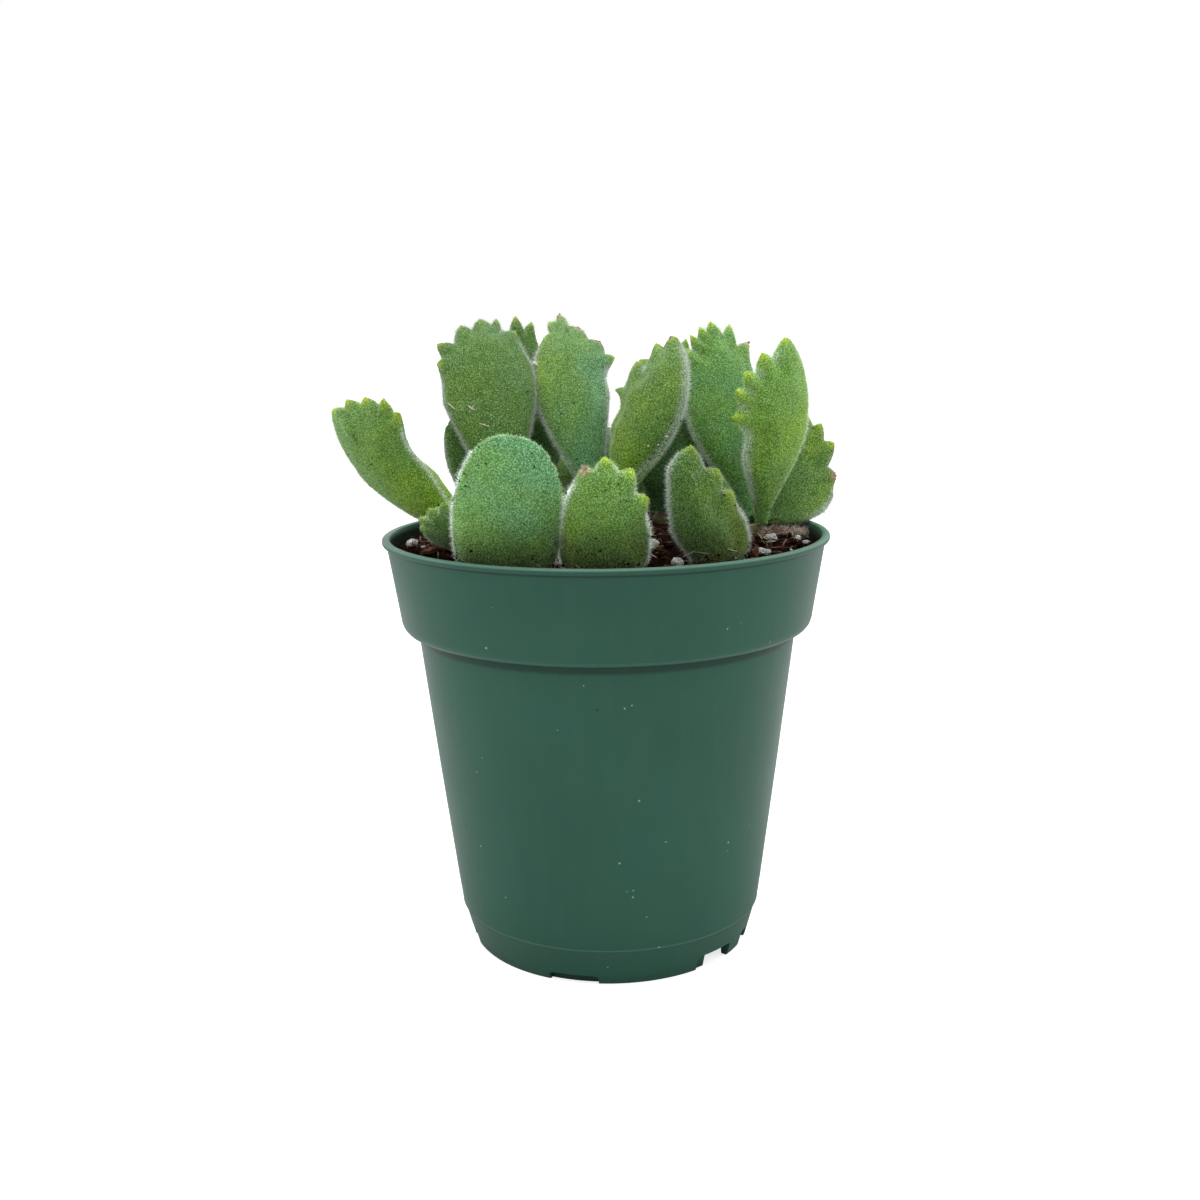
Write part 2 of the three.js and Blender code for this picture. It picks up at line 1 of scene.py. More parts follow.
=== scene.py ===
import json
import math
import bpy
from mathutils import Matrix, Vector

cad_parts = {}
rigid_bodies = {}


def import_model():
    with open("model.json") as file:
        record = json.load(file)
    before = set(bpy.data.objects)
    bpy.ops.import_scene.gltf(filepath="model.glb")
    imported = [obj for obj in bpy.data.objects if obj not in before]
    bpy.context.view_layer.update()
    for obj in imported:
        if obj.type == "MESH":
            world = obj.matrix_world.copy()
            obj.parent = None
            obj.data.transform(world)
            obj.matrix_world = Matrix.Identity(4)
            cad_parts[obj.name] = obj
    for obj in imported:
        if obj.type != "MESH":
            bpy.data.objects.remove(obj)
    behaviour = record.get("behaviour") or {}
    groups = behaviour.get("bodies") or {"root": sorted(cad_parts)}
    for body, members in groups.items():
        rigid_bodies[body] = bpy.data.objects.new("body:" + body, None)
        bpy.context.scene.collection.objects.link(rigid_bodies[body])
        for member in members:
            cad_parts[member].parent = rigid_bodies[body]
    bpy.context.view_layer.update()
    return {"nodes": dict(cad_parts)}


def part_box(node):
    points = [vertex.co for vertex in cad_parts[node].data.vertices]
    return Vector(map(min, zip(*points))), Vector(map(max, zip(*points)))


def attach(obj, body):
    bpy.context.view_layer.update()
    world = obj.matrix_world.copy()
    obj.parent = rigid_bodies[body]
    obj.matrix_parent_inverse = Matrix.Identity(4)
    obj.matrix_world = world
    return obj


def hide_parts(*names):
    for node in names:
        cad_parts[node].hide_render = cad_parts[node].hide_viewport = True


bl_info = {
    "name": "Bear's Paw Succulent",
    "version": (1, 0, 0),
    "blender": (4, 5, 0),
    "location": "3D View > Sidebar > Succulent",
    "description": "Dresses a bear's paw succulent and its nursery pot: velvet leaves, soil and pot",
    "category": "Object",
}

import bmesh
import bpy
import numpy as np
from bpy.props import FloatProperty, FloatVectorProperty, IntProperty, PointerProperty
from mathutils import Matrix, Vector, noise
from mathutils.bvhtree import BVHTree
from mathutils.kdtree import KDTree

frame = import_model()

MM = 0.001
POT_LOW, POT_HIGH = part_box("pot")
AXIS = Vector(((POT_LOW.x + POT_HIGH.x) / 2, (POT_LOW.y + POT_HIGH.y) / 2, 0.0))
LEAF_NODES = sorted(n for n in frame["nodes"] if n.startswith("leaf_"))
STEM_NODES = sorted(n for n in frame["nodes"] if n.startswith("stem_"))
PERLITE_NODES = sorted(n for n in frame["nodes"] if n.startswith("perlite_"))
BARK_NODES = sorted(n for n in frame["nodes"] if n.startswith("bark_chip_"))


def loose_seat(node):
    """Where a loose grain or chip lies, from the pot's axis, its underside and its reach in mm."""
    low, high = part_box(node)
    mid = ((low + high) / 2 - AXIS) / MM
    return mid.x, mid.y, low.z / MM, 0.6 + (high - low).length / MM / 4


LOOSE = [loose_seat(node) for node in PERLITE_NODES + BARK_NODES]

# How each leaf looks. teeth: how many stand before and after the apex; depth: of the notches
# between them, in mm; tone: 0 yellow green, 0.5 mid green, 1 blue green, at the root and at the
# apex; side: change of tone from the middle to the right edge; light: painted light and shade,
# how bright the whole leaf is painted; dirt: share of dark specks; browned: teeth with dry tips,
# counted from the left; fresh: how yellow the other tips are; felt: width of the pale margin in
# mm, a margin that is partly the velvet and partly painted sheen; wide: how much the right side
# is drawn out; size: of the whole leaf beside its solid; outer: share of their depth that the
# notches farthest from the apex have; taper: how far the left side is drawn in at the foot.
PLAIN_LOOK = {"teeth": (2, 2), "depth": 1.9, "tone": (0.4, 0.5), "side": 0.0, "light": 0.95,
              "dirt": 0.2, "browned": (), "fresh": 0.9, "felt": 0.9, "wide": 1.0,
              "size": 1.0, "outer": 1.0, "taper": 0.0}
LEAF_LOOKS = {
    "leaf_left_outer": {"teeth": (0, 4), "depth": 1.8, "tone": (0.12, 0.42), "side": -0.3,
                        "light": 1.33, "dirt": 0.25, "fresh": 1.0, "felt": 0.5},
    "leaf_left_small": {"teeth": (3, 0), "depth": 2.2, "tone": (0.6, 0.45), "light": 1.2,
                        "dirt": 0.1, "felt": 1.2, "fresh": 0.4},
    "leaf_front_left": {"teeth": (1, 3), "depth": -0.35, "tone": (0.12, 0.95), "side": 0.1,
                        "light": 1.78, "dirt": 0.9, "fresh": 0.0, "felt": 0.5},
    "leaf_front_middle": {"teeth": (1, 2), "depth": 2.5, "tone": (0.12, 0.5), "side": 0.05,
                          "light": 1.85, "dirt": 0.6, "browned": (0,), "felt": 0.9},
    "leaf_front_right": {"teeth": (-1, 3), "depth": 2.4, "tone": (0.02, 0.45), "side": -0.25,
                         "dirt": 0.3, "light": 1.0, "felt": 0.9, "taper": 0.75},
    "leaf_tall_left": {"teeth": (2, 3), "depth": 3.5, "tone": (0.38, 0.58), "side": 0.05,
                       "light": 0.88, "dirt": 0.4, "outer": 0.4},
    "leaf_left_back": {"teeth": (1, 2), "depth": -0.2, "tone": (0.5, 0.5), "light": 0.85, "fresh": 0.0},
    "leaf_tall_middle": {"teeth": (3, 2), "depth": 1.8, "tone": (0.75, 0.6), "side": 0.4,
                         "light": 1.12, "browned": (2, 3, 4), "felt": 1.2},
    "leaf_centre": {"teeth": (0, 3), "depth": 5.0, "tone": (0.15, 0.4), "side": 0.05,
                    "light": 1.03, "dirt": 1.0, "felt": 1.15, "outer": 0.65},
    "leaf_centre_young": {"teeth": (1, 1), "depth": 1.2, "tone": (0.7, 0.7), "light": 1.3,
                          "dirt": 0.0},
    "leaf_middle_low": {"teeth": (1, 1), "depth": 1.3, "tone": (0.3, 0.5), "light": 0.8},
    "leaf_tall_right": {"teeth": (2, 3), "depth": 3.4, "tone": (0.7, 0.62), "side": 0.05,
                        "light": 1.42, "browned": (5,)},
    "leaf_right_front": {"teeth": (4, 0), "depth": 3.2, "tone": (0.3, 0.35), "light": 1.72, "felt": 1.3},
    "leaf_right_back": {"teeth": (3, 2), "depth": 2.1, "tone": (0.45, 0.35), "side": -0.1,
                        "light": 1.05, "dirt": 0.5, "browned": (5,)},
    "leaf_front_right_young": {"teeth": (1, 1), "depth": 0.9},
    "leaf_back_left_tall": {"teeth": (1, 1), "depth": 3.4},
    "leaf_back_left_inner": {"teeth": (1, 2), "depth": 1.4, "tone": (0.8, 0.7), "light": 0.75},
    "leaf_back_right_tall": {"depth": 2.2, "tone": (0.5, 0.55), "light": 1.2,
                             "browned": (2,)},
    "leaf_back_right_inner": {"teeth": (1, 2), "depth": 1.4, "tone": (0.95, 0.7),
                              "light": 0.85, "dirt": 0.0, "wide": 1.8},
    "leaf_back_1": {"depth": -0.2, "fresh": 0.0, "size": 0.72},
    "leaf_back_4": {"teeth": (2, 1), "depth": 1.4},
}


# Grains of perlite caught on leaves: leaf, place across and up from the pot's foot and size, mm.
GRAINS = [("leaf_centre", 13.9, 120.4, 0.55), ("leaf_centre", 12.3, 118.6, 0.33),
          ("leaf_centre", 10.0, 118.2, 0.33), ("leaf_right_front", 36.9, 133.5, 0.32),
          ("leaf_right_back", 39.3, 100.0, 0.38), ("leaf_tall_middle", -16.6, 136.0, 0.75)]
# Dry scars on leaves: leaf, both ends across and up, and half width, in mm.
SCARS = [("leaf_tall_left", -38.3, 128.6, -34.9, 126.2, 0.16),
         ("leaf_tall_left", -32.1, 127.2, -30.2, 126.2, 0.2),
         ("leaf_tall_left", -31.6, 126.0, -30.4, 127.4, 0.12),
         ("leaf_tall_left", -29.2, 123.2, -26.7, 122.4, 0.2),
         ("leaf_tall_middle", -17.4, 136.8, -15.9, 135.9, 0.4),
         ("leaf_tall_middle", -16.9, 135.6, -15.9, 137.0, 0.35)]


# ---------------------------------------------------------------- settings

class LeafSettings(bpy.types.PropertyGroup):
    """Sizes and colours of the leaves and their velvet."""

    yellow_green: FloatVectorProperty(
        name="Yellow Green", description="Leaf colour towards the light", subtype="COLOR",
        size=3, min=0, max=1, default=(0.200, 0.345, 0.022))
    mid_green: FloatVectorProperty(
        name="Mid Green", description="Leaf colour over most of the blade", subtype="COLOR",
        size=3, min=0, max=1, default=(0.130, 0.275, 0.055))
    blue_green: FloatVectorProperty(
        name="Blue Green", description="Leaf colour where the bloom is thick", subtype="COLOR",
        size=3, min=0, max=1, default=(0.125, 0.300, 0.135))
    tooth_green: FloatVectorProperty(
        name="Tooth Green", description="Colour of fresh tooth tips", subtype="COLOR",
        size=3, min=0, max=1, default=(0.38, 0.52, 0.025))
    dry_brown: FloatVectorProperty(
        name="Dry Brown", description="Colour of dried tooth tips", subtype="COLOR",
        size=3, min=0, max=1, default=(0.30, 0.17, 0.08))
    hair_white: FloatVectorProperty(
        name="Hair White", description="Colour of the hairs along the margin", subtype="COLOR",
        size=3, min=0, max=1, default=(0.68, 0.75, 0.70))
    hair_green: FloatVectorProperty(
        name="Hair Green", description="Colour of the hairs over the blade", subtype="COLOR",
        size=3, min=0, max=1, default=(0.50, 0.66, 0.34))
    smoothing: IntProperty(
        name="Smoothing", description="Subdivision levels of each leaf", min=1, max=3,
        default=2)
    hair_length: FloatProperty(
        name="Hair Length", description="Mean length of the hairs", unit="LENGTH",
        min=0.0001, max=0.003, default=0.00055)
    hair_radius: FloatProperty(
        name="Hair Radius", description="Radius of a hair at its root", unit="LENGTH",
        min=0.00001, max=0.0002, default=0.000060)
    hairs_per_mm2: FloatProperty(
        name="Hairs per mm2", description="How dense the velvet is", min=0.1, max=20, default=4.2)


class PotSettings(bpy.types.PropertyGroup):
    """Sizes and colours of the nursery pot."""

    rim_radius: FloatProperty(
        name="Rim Radius", description="Outside radius of the lip", unit="LENGTH",
        min=0.01, max=0.2, default=(POT_HIGH.x - POT_LOW.x) / 2)
    height: FloatProperty(
        name="Height", description="From the foot to the top of the lip", unit="LENGTH",
        min=0.01, max=0.3, default=POT_HIGH.z)
    wall: FloatProperty(
        name="Wall", description="Thickness of the moulded wall", unit="LENGTH",
        min=0.0003, max=0.005, default=0.001)
    sides: IntProperty(
        name="Sides", description="Steps round the pot", min=48, max=360, default=180)
    green: FloatVectorProperty(
        name="Pot Green", description="Colour of the plastic", subtype="COLOR",
        size=3, min=0, max=1, default=(0.0235, 0.095, 0.064))
    scuff: FloatVectorProperty(
        name="Scuff", description="Colour of fine scuffs and dust", subtype="COLOR",
        size=3, min=0, max=1, default=(0.42, 0.52, 0.46))


class SoilSettings(bpy.types.PropertyGroup):
    """Sizes and colours of the potting mix."""

    cell: FloatProperty(
        name="Cell", description="Spacing of the soil surface's grid", unit="LENGTH",
        min=0.0003, max=0.003, default=0.00055)
    crumbs: IntProperty(
        name="Crumbs", description="Loose crumbs of peat", min=0, max=5000, default=2400)
    fibres: IntProperty(
        name="Fibres", description="Loose fibres of peat and coir", min=0, max=3000, default=2300)
    peat: FloatVectorProperty(
        name="Peat", description="Colour of moist peat", subtype="COLOR",
        size=3, min=0, max=1, default=(0.012, 0.0060, 0.0045))
    peat_light: FloatVectorProperty(
        name="Dry Peat", description="Colour of drier crumbs", subtype="COLOR",
        size=3, min=0, max=1, default=(0.075, 0.036, 0.025))
    perlite: FloatVectorProperty(
        name="Perlite", description="Colour of perlite grains", subtype="COLOR",
        size=3, min=0, max=1, default=(0.58, 0.60, 0.60))
    bark: FloatVectorProperty(
        name="Bark", description="Colour of bark chips", subtype="COLOR",
        size=3, min=0, max=1, default=(0.24, 0.11, 0.065))


class StageSettings(bpy.types.PropertyGroup):
    """Camera and light of the studio."""

    eye: FloatVectorProperty(
        name="Eye", description="Place of the camera from the pot's foot", subtype="TRANSLATION",
        unit="LENGTH", size=3, default=(0.0, -0.322114, 0.1460985))
    pitch: FloatProperty(
        name="Pitch", description="How far the camera looks down", unit="ROTATION",
        default=0.198014487)
    yaw: FloatProperty(
        name="Yaw", description="How far the camera looks to the right", unit="ROTATION",
        default=-0.00483105)
    roll: FloatProperty(
        name="Roll", description="Turn of the camera about its view", unit="ROTATION",
        default=-0.01379365)
    lens: FloatProperty(
        name="Lens", description="Focal length on a 36 mm sensor", min=10, max=200,
        default=41.594)
    surround: FloatProperty(
        name="Surround", description="Strength of the white surround", min=0, max=5, default=1.0)
    front: FloatProperty(
        name="Front", description="Share of the surround's light left behind the camera",
        min=0, max=1, default=0.62)


# ---------------------------------------------------------------- modelling helpers

def select_only(obj):
    """Makes obj the one selected and active object, in object mode."""
    if bpy.context.mode != "OBJECT":
        bpy.ops.object.mode_set(mode="OBJECT")
    bpy.ops.object.select_all(action="DESELECT")
    obj.hide_set(False)
    obj.select_set(True)
    bpy.context.view_layer.objects.active = obj


def edit(obj, shape):
    """Runs shape(bm) in edit mode on obj, with nothing selected at the start."""
    select_only(obj)
    bpy.ops.object.mode_set(mode="EDIT")
    bpy.ops.mesh.select_all(action="DESELECT")
    bm = bmesh.from_edit_mesh(obj.data)
    shape(bm)
    bpy.ops.object.mode_set(mode="OBJECT")


def pick(bm, obj, faces=None, verts=None):
    """Selects the faces or vertices that a test accepts."""
    for f in bm.faces:
        f.select_set(False)
    for v in bm.verts:
        v.select_set(False)
    if faces:
        for f in bm.faces:
            if faces(f):
                f.select_set(True)
    if verts:
        for v in bm.verts:
            if verts(v):
                v.select_set(True)
    bm.select_flush_mode()
    bmesh.update_edit_mesh(obj.data)


def add_modifier(obj, kind, **settings):
    """Adds a modifier and applies it at once."""
    modifier = obj.modifiers.new(kind.title(), kind)
    for key, value in settings.items():
        setattr(modifier, key, value)
    select_only(obj)
    bpy.ops.object.modifier_apply(modifier=modifier.name)


def smooth_by_angle(obj, degrees):
    select_only(obj)
    bpy.ops.object.shade_smooth_by_angle(angle=math.radians(degrees))


def settle(obj):
    """Puts the object's place into its mesh."""
    select_only(obj)
    bpy.ops.object.transform_apply(location=True, rotation=True, scale=True)


def points_of(obj):
    co = np.empty(len(obj.data.vertices) * 3)
    obj.data.vertices.foreach_get("co", co)
    return co.reshape(-1, 3)


def set_points(obj, co):
    obj.data.vertices.foreach_set("co", np.asarray(co, dtype=np.float32).ravel())
    obj.data.update()


def paint(obj, name, values):
    """Stores one number for each vertex, for the materials to read."""
    layer = obj.data.attributes.new(name, "FLOAT", "POINT")
    layer.data.foreach_set("value", np.asarray(values, dtype=np.float32))


def from_arrays(name, points, faces):
    """A mesh object from arrays of points and of equal-sided faces."""
    mesh = bpy.data.meshes.new(name)
    count, sides = faces.shape
    mesh.vertices.add(len(points))
    mesh.vertices.foreach_set("co", np.asarray(points, dtype=np.float32).ravel())
    mesh.loops.add(count * sides)
    mesh.loops.foreach_set("vertex_index", np.asarray(faces, dtype=np.int32).ravel())
    mesh.polygons.add(count)
    mesh.polygons.foreach_set("loop_start", np.arange(count, dtype=np.int32) * sides)
    mesh.update(calc_edges=True)
    mesh.validate()
    obj = bpy.data.objects.new(name, mesh)
    bpy.context.scene.collection.objects.link(obj)
    return obj


def merged_copy(node, name):
    """A copy of a CAD node as one connected mesh, with plain normals."""
    bm = bmesh.new()
    bm.from_mesh(frame["nodes"][node].data)
    bmesh.ops.remove_doubles(bm, verts=bm.verts, dist=2e-6)
    bm.verts.index_update()
    points = [v.co.copy() for v in bm.verts]
    faces = [[v.index for v in f.verts] for f in bm.faces]
    bm.free()
    mesh = bpy.data.meshes.new(name)
    mesh.from_pydata(points, [], faces)
    obj = bpy.data.objects.new(name, mesh)
    bpy.context.scene.collection.objects.link(obj)
    return obj


def keep(obj, name, material, nodes=()):
    """Names a finished piece, gives it its material and fixes it to the plant."""
    obj.name = name
    obj.data.name = name
    obj.data.materials.clear()
    obj.data.materials.append(material)
    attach(obj, "root")
    if nodes:
        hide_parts(*nodes)


def smooth_step(x):
    x = np.clip(x, 0, 1)
    return x * x * (3 - 2 * x)


# ---------------------------------------------------------------- material helpers

def put(tree, kind, inputs=None, **settings):
    """Adds a node; an input is given as a value or as the socket that feeds it."""
    made = tree.nodes.new(kind)
    for key, value in settings.items():
        setattr(made, key, value)
    for key, value in (inputs or {}).items():
        if isinstance(value, bpy.types.NodeSocket):
            tree.links.new(value, made.inputs[key])
        else:
            made.inputs[key].default_value = value
    return made


def math_node(tree, operation, a, b=0.0, clamp=False):
    return put(tree, "ShaderNodeMath", {0: a, 1: b}, operation=operation,
               use_clamp=clamp).outputs[0]


def remap(tree, value, low, high, to_low=0.0, to_high=1.0):
    return put(tree, "ShaderNodeMapRange", {
        "Value": value, "From Min": low, "From Max": high, "To Min": to_low,
        "To Max": to_high}, interpolation_type="SMOOTHSTEP").outputs["Result"]


def blend_colour(tree, factor, a, b, mode="MIX"):
    made = put(tree, "ShaderNodeMix", {"Factor": factor}, data_type="RGBA", blend_type=mode)
    for socket, value in ((made.inputs[6], a), (made.inputs[7], b)):
        if isinstance(value, bpy.types.NodeSocket):
            tree.links.new(value, socket)
        else:
            socket.default_value = (*tuple(value)[:3], 1.0)
    return made.outputs[2]


def attribute(tree, name):
    return put(tree, "ShaderNodeAttribute", attribute_name=name).outputs["Fac"]


def object_place(tree):
    return put(tree, "ShaderNodeTexCoord").outputs["Object"]


def noise_value(tree, place, scale, detail=2.0, roughness=0.5):
    return put(tree, "ShaderNodeTexNoise", {
        "Vector": place, "Scale": scale, "Detail": detail,
        "Roughness": roughness}).outputs["Fac"]


def new_group(name, inputs, outputs):
    """A shader node group with named sockets: (name, kind, default)."""
    group = bpy.data.node_groups.new(name, "ShaderNodeTree")
    for label, kind, default in inputs:
        socket = group.interface.new_socket(label, in_out="INPUT", socket_type=kind)
        if default is not None:
            socket.default_value = default
    for label, kind in outputs:
        group.interface.new_socket(label, in_out="OUTPUT", socket_type=kind)
    return group, group.nodes.new("NodeGroupInput"), group.nodes.new("NodeGroupOutput")


def use_group(tree, group, inputs):
    made = put(tree, "ShaderNodeGroup", node_tree=group)
    for key, value in inputs.items():
        if isinstance(value, bpy.types.NodeSocket):
            tree.links.new(value, made.inputs[key])
        else:
            made.inputs[key].default_value = value
    return made


def speck_group():
    """Scattered specks: a mask that is 1 in small round spots and 0 elsewhere."""
    found = bpy.data.node_groups.get("Scattered Specks")
    if found:
        return found
    group, given, result = new_group(
        "Scattered Specks",
        [("Place", "NodeSocketVector", None), ("Scale", "NodeSocketFloat", 400.0),
         ("Share", "NodeSocketFloat", 0.2), ("Size", "NodeSocketFloat", 0.25)],
        [("Mask", "NodeSocketFloat")])
    cells = put(group, "ShaderNodeTexVoronoi",
                {"Vector": given.outputs["Place"], "Scale": given.outputs["Scale"]})
    split = put(group, "ShaderNodeSeparateColor", {0: cells.outputs["Color"]})
    chosen = math_node(group, "LESS_THAN", split.outputs[0], given.outputs["Share"])
    own_size = math_node(group, "MULTIPLY", given.outputs["Size"],
                         remap(group, split.outputs[1], 0.0, 1.0, 0.45, 1.0))
    inner = math_node(group, "MULTIPLY", own_size, 0.55)
    spot = put(group, "ShaderNodeMapRange", {
        "Value": cells.outputs["Distance"], "From Min": own_size, "From Max": inner},
        interpolation_type="SMOOTHSTEP").outputs["Result"]
    group.links.new(math_node(group, "MULTIPLY", spot, chosen), result.inputs["Mask"])
    return group


def grain_group():
    """Fine velvet grain: round tufts with darker gaps, as a value and as a height."""
    found = bpy.data.node_groups.get("Velvet Grain")
    if found:
        return found
    group, given, result = new_group(
        "Velvet Grain",
        [("Place", "NodeSocketVector", None), ("Tufts", "NodeSocketFloat", 2100.0),
         ("Depth", "NodeSocketFloat", 1.0)],
        [("Value", "NodeSocketFloat"), ("Height", "NodeSocketFloat")])
    warp = put(group, "ShaderNodeTexNoise",
               {"Vector": given.outputs["Place"], "Scale": 1300.0, "Detail": 2.0})
    shift = put(group, "ShaderNodeVectorMath",
                {0: warp.outputs["Color"], 1: (0.0005, 0.0005, 0.0005)}, operation="MULTIPLY")
    place = put(group, "ShaderNodeVectorMath",
                {0: given.outputs["Place"], 1: shift.outputs[0]}, operation="ADD").outputs[0]
    cells = put(group, "ShaderNodeTexVoronoi",
                {"Vector": place, "Scale": given.outputs["Tufts"]})
    tuft = remap(group, cells.outputs["Distance"], 0.62, 0.08)
    fine = noise_value(group, place, 5200.0, 1.0)
    both = math_node(group, "ADD", math_node(group, "MULTIPLY", tuft, 0.7),
                     math_node(group, "MULTIPLY", fine, 0.3))
    centred = math_node(group, "SUBTRACT", both, 0.45)
    value = math_node(group, "MULTIPLY", centred, given.outputs["Depth"])
    group.links.new(math_node(group, "ADD", value, 1.0), result.inputs["Value"])
    group.links.new(both, result.inputs["Height"])
    return group


def tone_group(leaf):
    """The leaf's own green from yellow green over mid green to blue green, and its tooth tips."""
    found = bpy.data.node_groups.get("Leaf Tone")
    if found:
        return found
    group, given, result = new_group(
        "Leaf Tone",
        [("Place", "NodeSocketVector", None), ("Tone", "NodeSocketFloat", 0.5),
         ("Tooth", "NodeSocketFloat", 0.0)],
        [("Color", "NodeSocketColor")])
    drift = noise_value(group, given.outputs["Place"], 95.0, 3.0)
    tone = math_node(group, "ADD", given.outputs["Tone"],
                     remap(group, drift, 0.25, 0.75, -0.16, 0.16))
    low = blend_colour(group, remap(group, tone, 0.0, 0.5), leaf.yellow_green, leaf.mid_green)
    skin = blend_colour(group, remap(group, tone, 0.5, 1.0), low, leaf.blue_green)
    skin = blend_colour(group, given.outputs["Tooth"], skin, leaf.tooth_green)
    group.links.new(skin, result.inputs["Color"])
    return group


def new_material(name, **sockets):
    """A material with one Principled shader; plain values are set on its own sockets."""
    material = bpy.data.materials.new(name)
    material.use_nodes = True
    tree = material.node_tree
    shader = tree.nodes["Principled BSDF"]
    for key, value in sockets.items():
        shader.inputs[key.replace("_", " ").title().replace("Ior", "IOR")].default_value = value
    return material, tree, shader


def feed(tree, shader, **links):
    for key, socket in links.items():
        tree.links.new(socket, shader.inputs[key.replace("_", " ").title()])


def relief(tree, height, distance, strength=1.0, normal=None):
    inputs = {"Height": height, "Distance": distance, "Strength": strength}
    if normal is not None:
        inputs["Normal"] = normal
    return put(tree, "ShaderNodeBump", inputs).outputs["Normal"]


# ---------------------------------------------------------------- materials

def leaf_material(leaf):
    """Velvety leaf skin; its tone, teeth, margin, dirt and painted light come from the piece's own
    attributes.
    """
    found = bpy.data.materials.get("leaf_velvet")
    if found:
        return found
    material, tree, shader = new_material(
        "leaf_velvet", subsurface_weight=0.12, subsurface_radius=(0.0012, 0.0016, 0.0005),
        subsurface_scale=1.0, sheen_weight=0.35, sheen_roughness=0.32,
        sheen_tint=(0.88, 0.95, 0.90, 1.0), specular_ior_level=0.08)
    place = object_place(tree)
    skin = use_group(tree, tone_group(leaf), {
        "Place": place, "Tone": attribute(tree, "tone"),
        "Tooth": attribute(tree, "tooth")}).outputs["Color"]
    # pale margin: partly the denser velvet, partly painted sheen
    skin = blend_colour(tree, math_node(tree, "MULTIPLY", attribute(tree, "margin"), 0.7), skin,
                        (0.52, 0.60, 0.50))
    patch = noise_value(tree, place, 1400.0, 3.0)
    dry = math_node(tree, "MULTIPLY", attribute(tree, "dry"), remap(tree, patch, 0.2, 0.55))
    dry_tint = blend_colour(tree, patch, leaf.dry_brown, (0.55, 0.45, 0.33))
    skin = blend_colour(tree, dry, skin, dry_tint)
    grain = use_group(tree, grain_group(), {"Place": place, "Tufts": 2700.0, "Depth": 1.55})
    mottle = remap(tree, noise_value(tree, place, 420.0, 2.0), 0.25, 0.75, 0.9, 1.1)
    # painted light and shade: the leaf's light attribute brightens or darkens its skin
    light = math_node(tree, "MULTIPLY", attribute(tree, "light"), mottle)
    light = math_node(tree, "MULTIPLY", light, grain.outputs["Value"])
    shade = put(tree, "ShaderNodeCombineColor", {0: light, 1: light, 2: light}).outputs[0]
    skin = blend_colour(tree, 1.0, skin, shade, "MULTIPLY")
    bloom = remap(tree, noise_value(tree, place, 160.0, 2.0), 0.3, 0.7, 0.2, 0.42)
    tuft = remap(tree, grain.outputs["Height"], 0.4, 0.85)
    skin = blend_colour(tree, math_node(tree, "MULTIPLY", tuft, bloom), skin,
                        (0.44, 0.56, 0.40))
    dirt = attribute(tree, "dirt")
    clump = remap(tree, noise_value(tree, place, 210.0, 2.0), 0.42, 0.68)
    share = math_node(tree, "MULTIPLY", math_node(tree, "MULTIPLY", dirt, clump), 0.42)
    specks = use_group(tree, speck_group(),
                       {"Place": place, "Scale": 1500.0, "Share": share, "Size": 0.36})
    skin = blend_colour(tree, specks.outputs["Mask"], skin, (0.012, 0.012, 0.008))
    scars = use_group(tree, speck_group(),
                      {"Place": place, "Scale": 260.0, "Share": 0.012, "Size": 0.2})
    skin = blend_colour(tree, math_node(tree, "MULTIPLY", scars.outputs["Mask"], 0.7), skin,
                        (0.50, 0.44, 0.30))
    height = math_node(tree, "ADD", grain.outputs["Height"],
                       math_node(tree, "MULTIPLY", patch, 0.35))
    normal = relief(tree, height, 0.00016, 0.8)
    feed(tree, shader, base_color=skin, normal=normal,
         roughness=remap(tree, grain.outputs["Height"], 0.2, 0.9, 0.72, 0.5))
    return material


def hair_material(leaf):
    """Pale, slightly glossy plant hair."""
    found = bpy.data.materials.get("leaf_hair")
    if found:
        return found
    material, tree, shader = new_material(
        "leaf_hair", sheen_weight=0.2, sheen_roughness=0.5, subsurface_weight=0.0)
    place = object_place(tree)
    drift = noise_value(tree, place, 300.0, 2.0)
    skin = use_group(tree, tone_group(leaf), {
        "Place": place, "Tone": attribute(tree, "tone"),
        "Tooth": attribute(tree, "tooth")}).outputs["Color"]
    tint = blend_colour(tree, remap(tree, attribute(tree, "tooth"), 0.0, 1.0, 0.55, 0.1), skin,
                        leaf.hair_green)
    tint = blend_colour(tree, attribute(tree, "edge"), tint, leaf.hair_white)
    tint = blend_colour(tree, attribute(tree, "dry"), tint, (0.52, 0.42, 0.32))
    # painted light and shade: the hairs take their leaf's light
    light = math_node(tree, "MULTIPLY", attribute(tree, "light"),
                      remap(tree, drift, 0.3, 0.7, 1.1, 0.85))
    shade = put(tree, "ShaderNodeCombineColor", {0: light, 1: light, 2: light}).outputs[0]
    tint = blend_colour(tree, 1.0, tint, shade, "MULTIPLY")
    feed(tree, shader, base_color=tint, roughness=remap(tree, drift, 0.2, 0.8, 0.45, 0.65))
    return material


def stem_material():
    """Woody green stem with a corky skin."""
    material, tree, shader = new_material(
        "stem_cork", sheen_weight=0.25, sheen_roughness=0.5)
    place = object_place(tree)
    drift = noise_value(tree, place, 260.0, 4.0)
    tint = blend_colour(tree, remap(tree, drift, 0.35, 0.65), (0.13, 0.19, 0.04),
                        (0.16, 0.13, 0.06))
    cork = noise_value(tree, place, 1500.0, 3.0)
    tint = blend_colour(tree, remap(tree, cork, 0.58, 0.8), tint, (0.30, 0.27, 0.15))
    feed(tree, shader, base_color=tint, normal=relief(tree, cork, 0.0003, 0.8),
         roughness=remap(tree, cork, 0.2, 0.8, 0.7, 0.9))
    return material


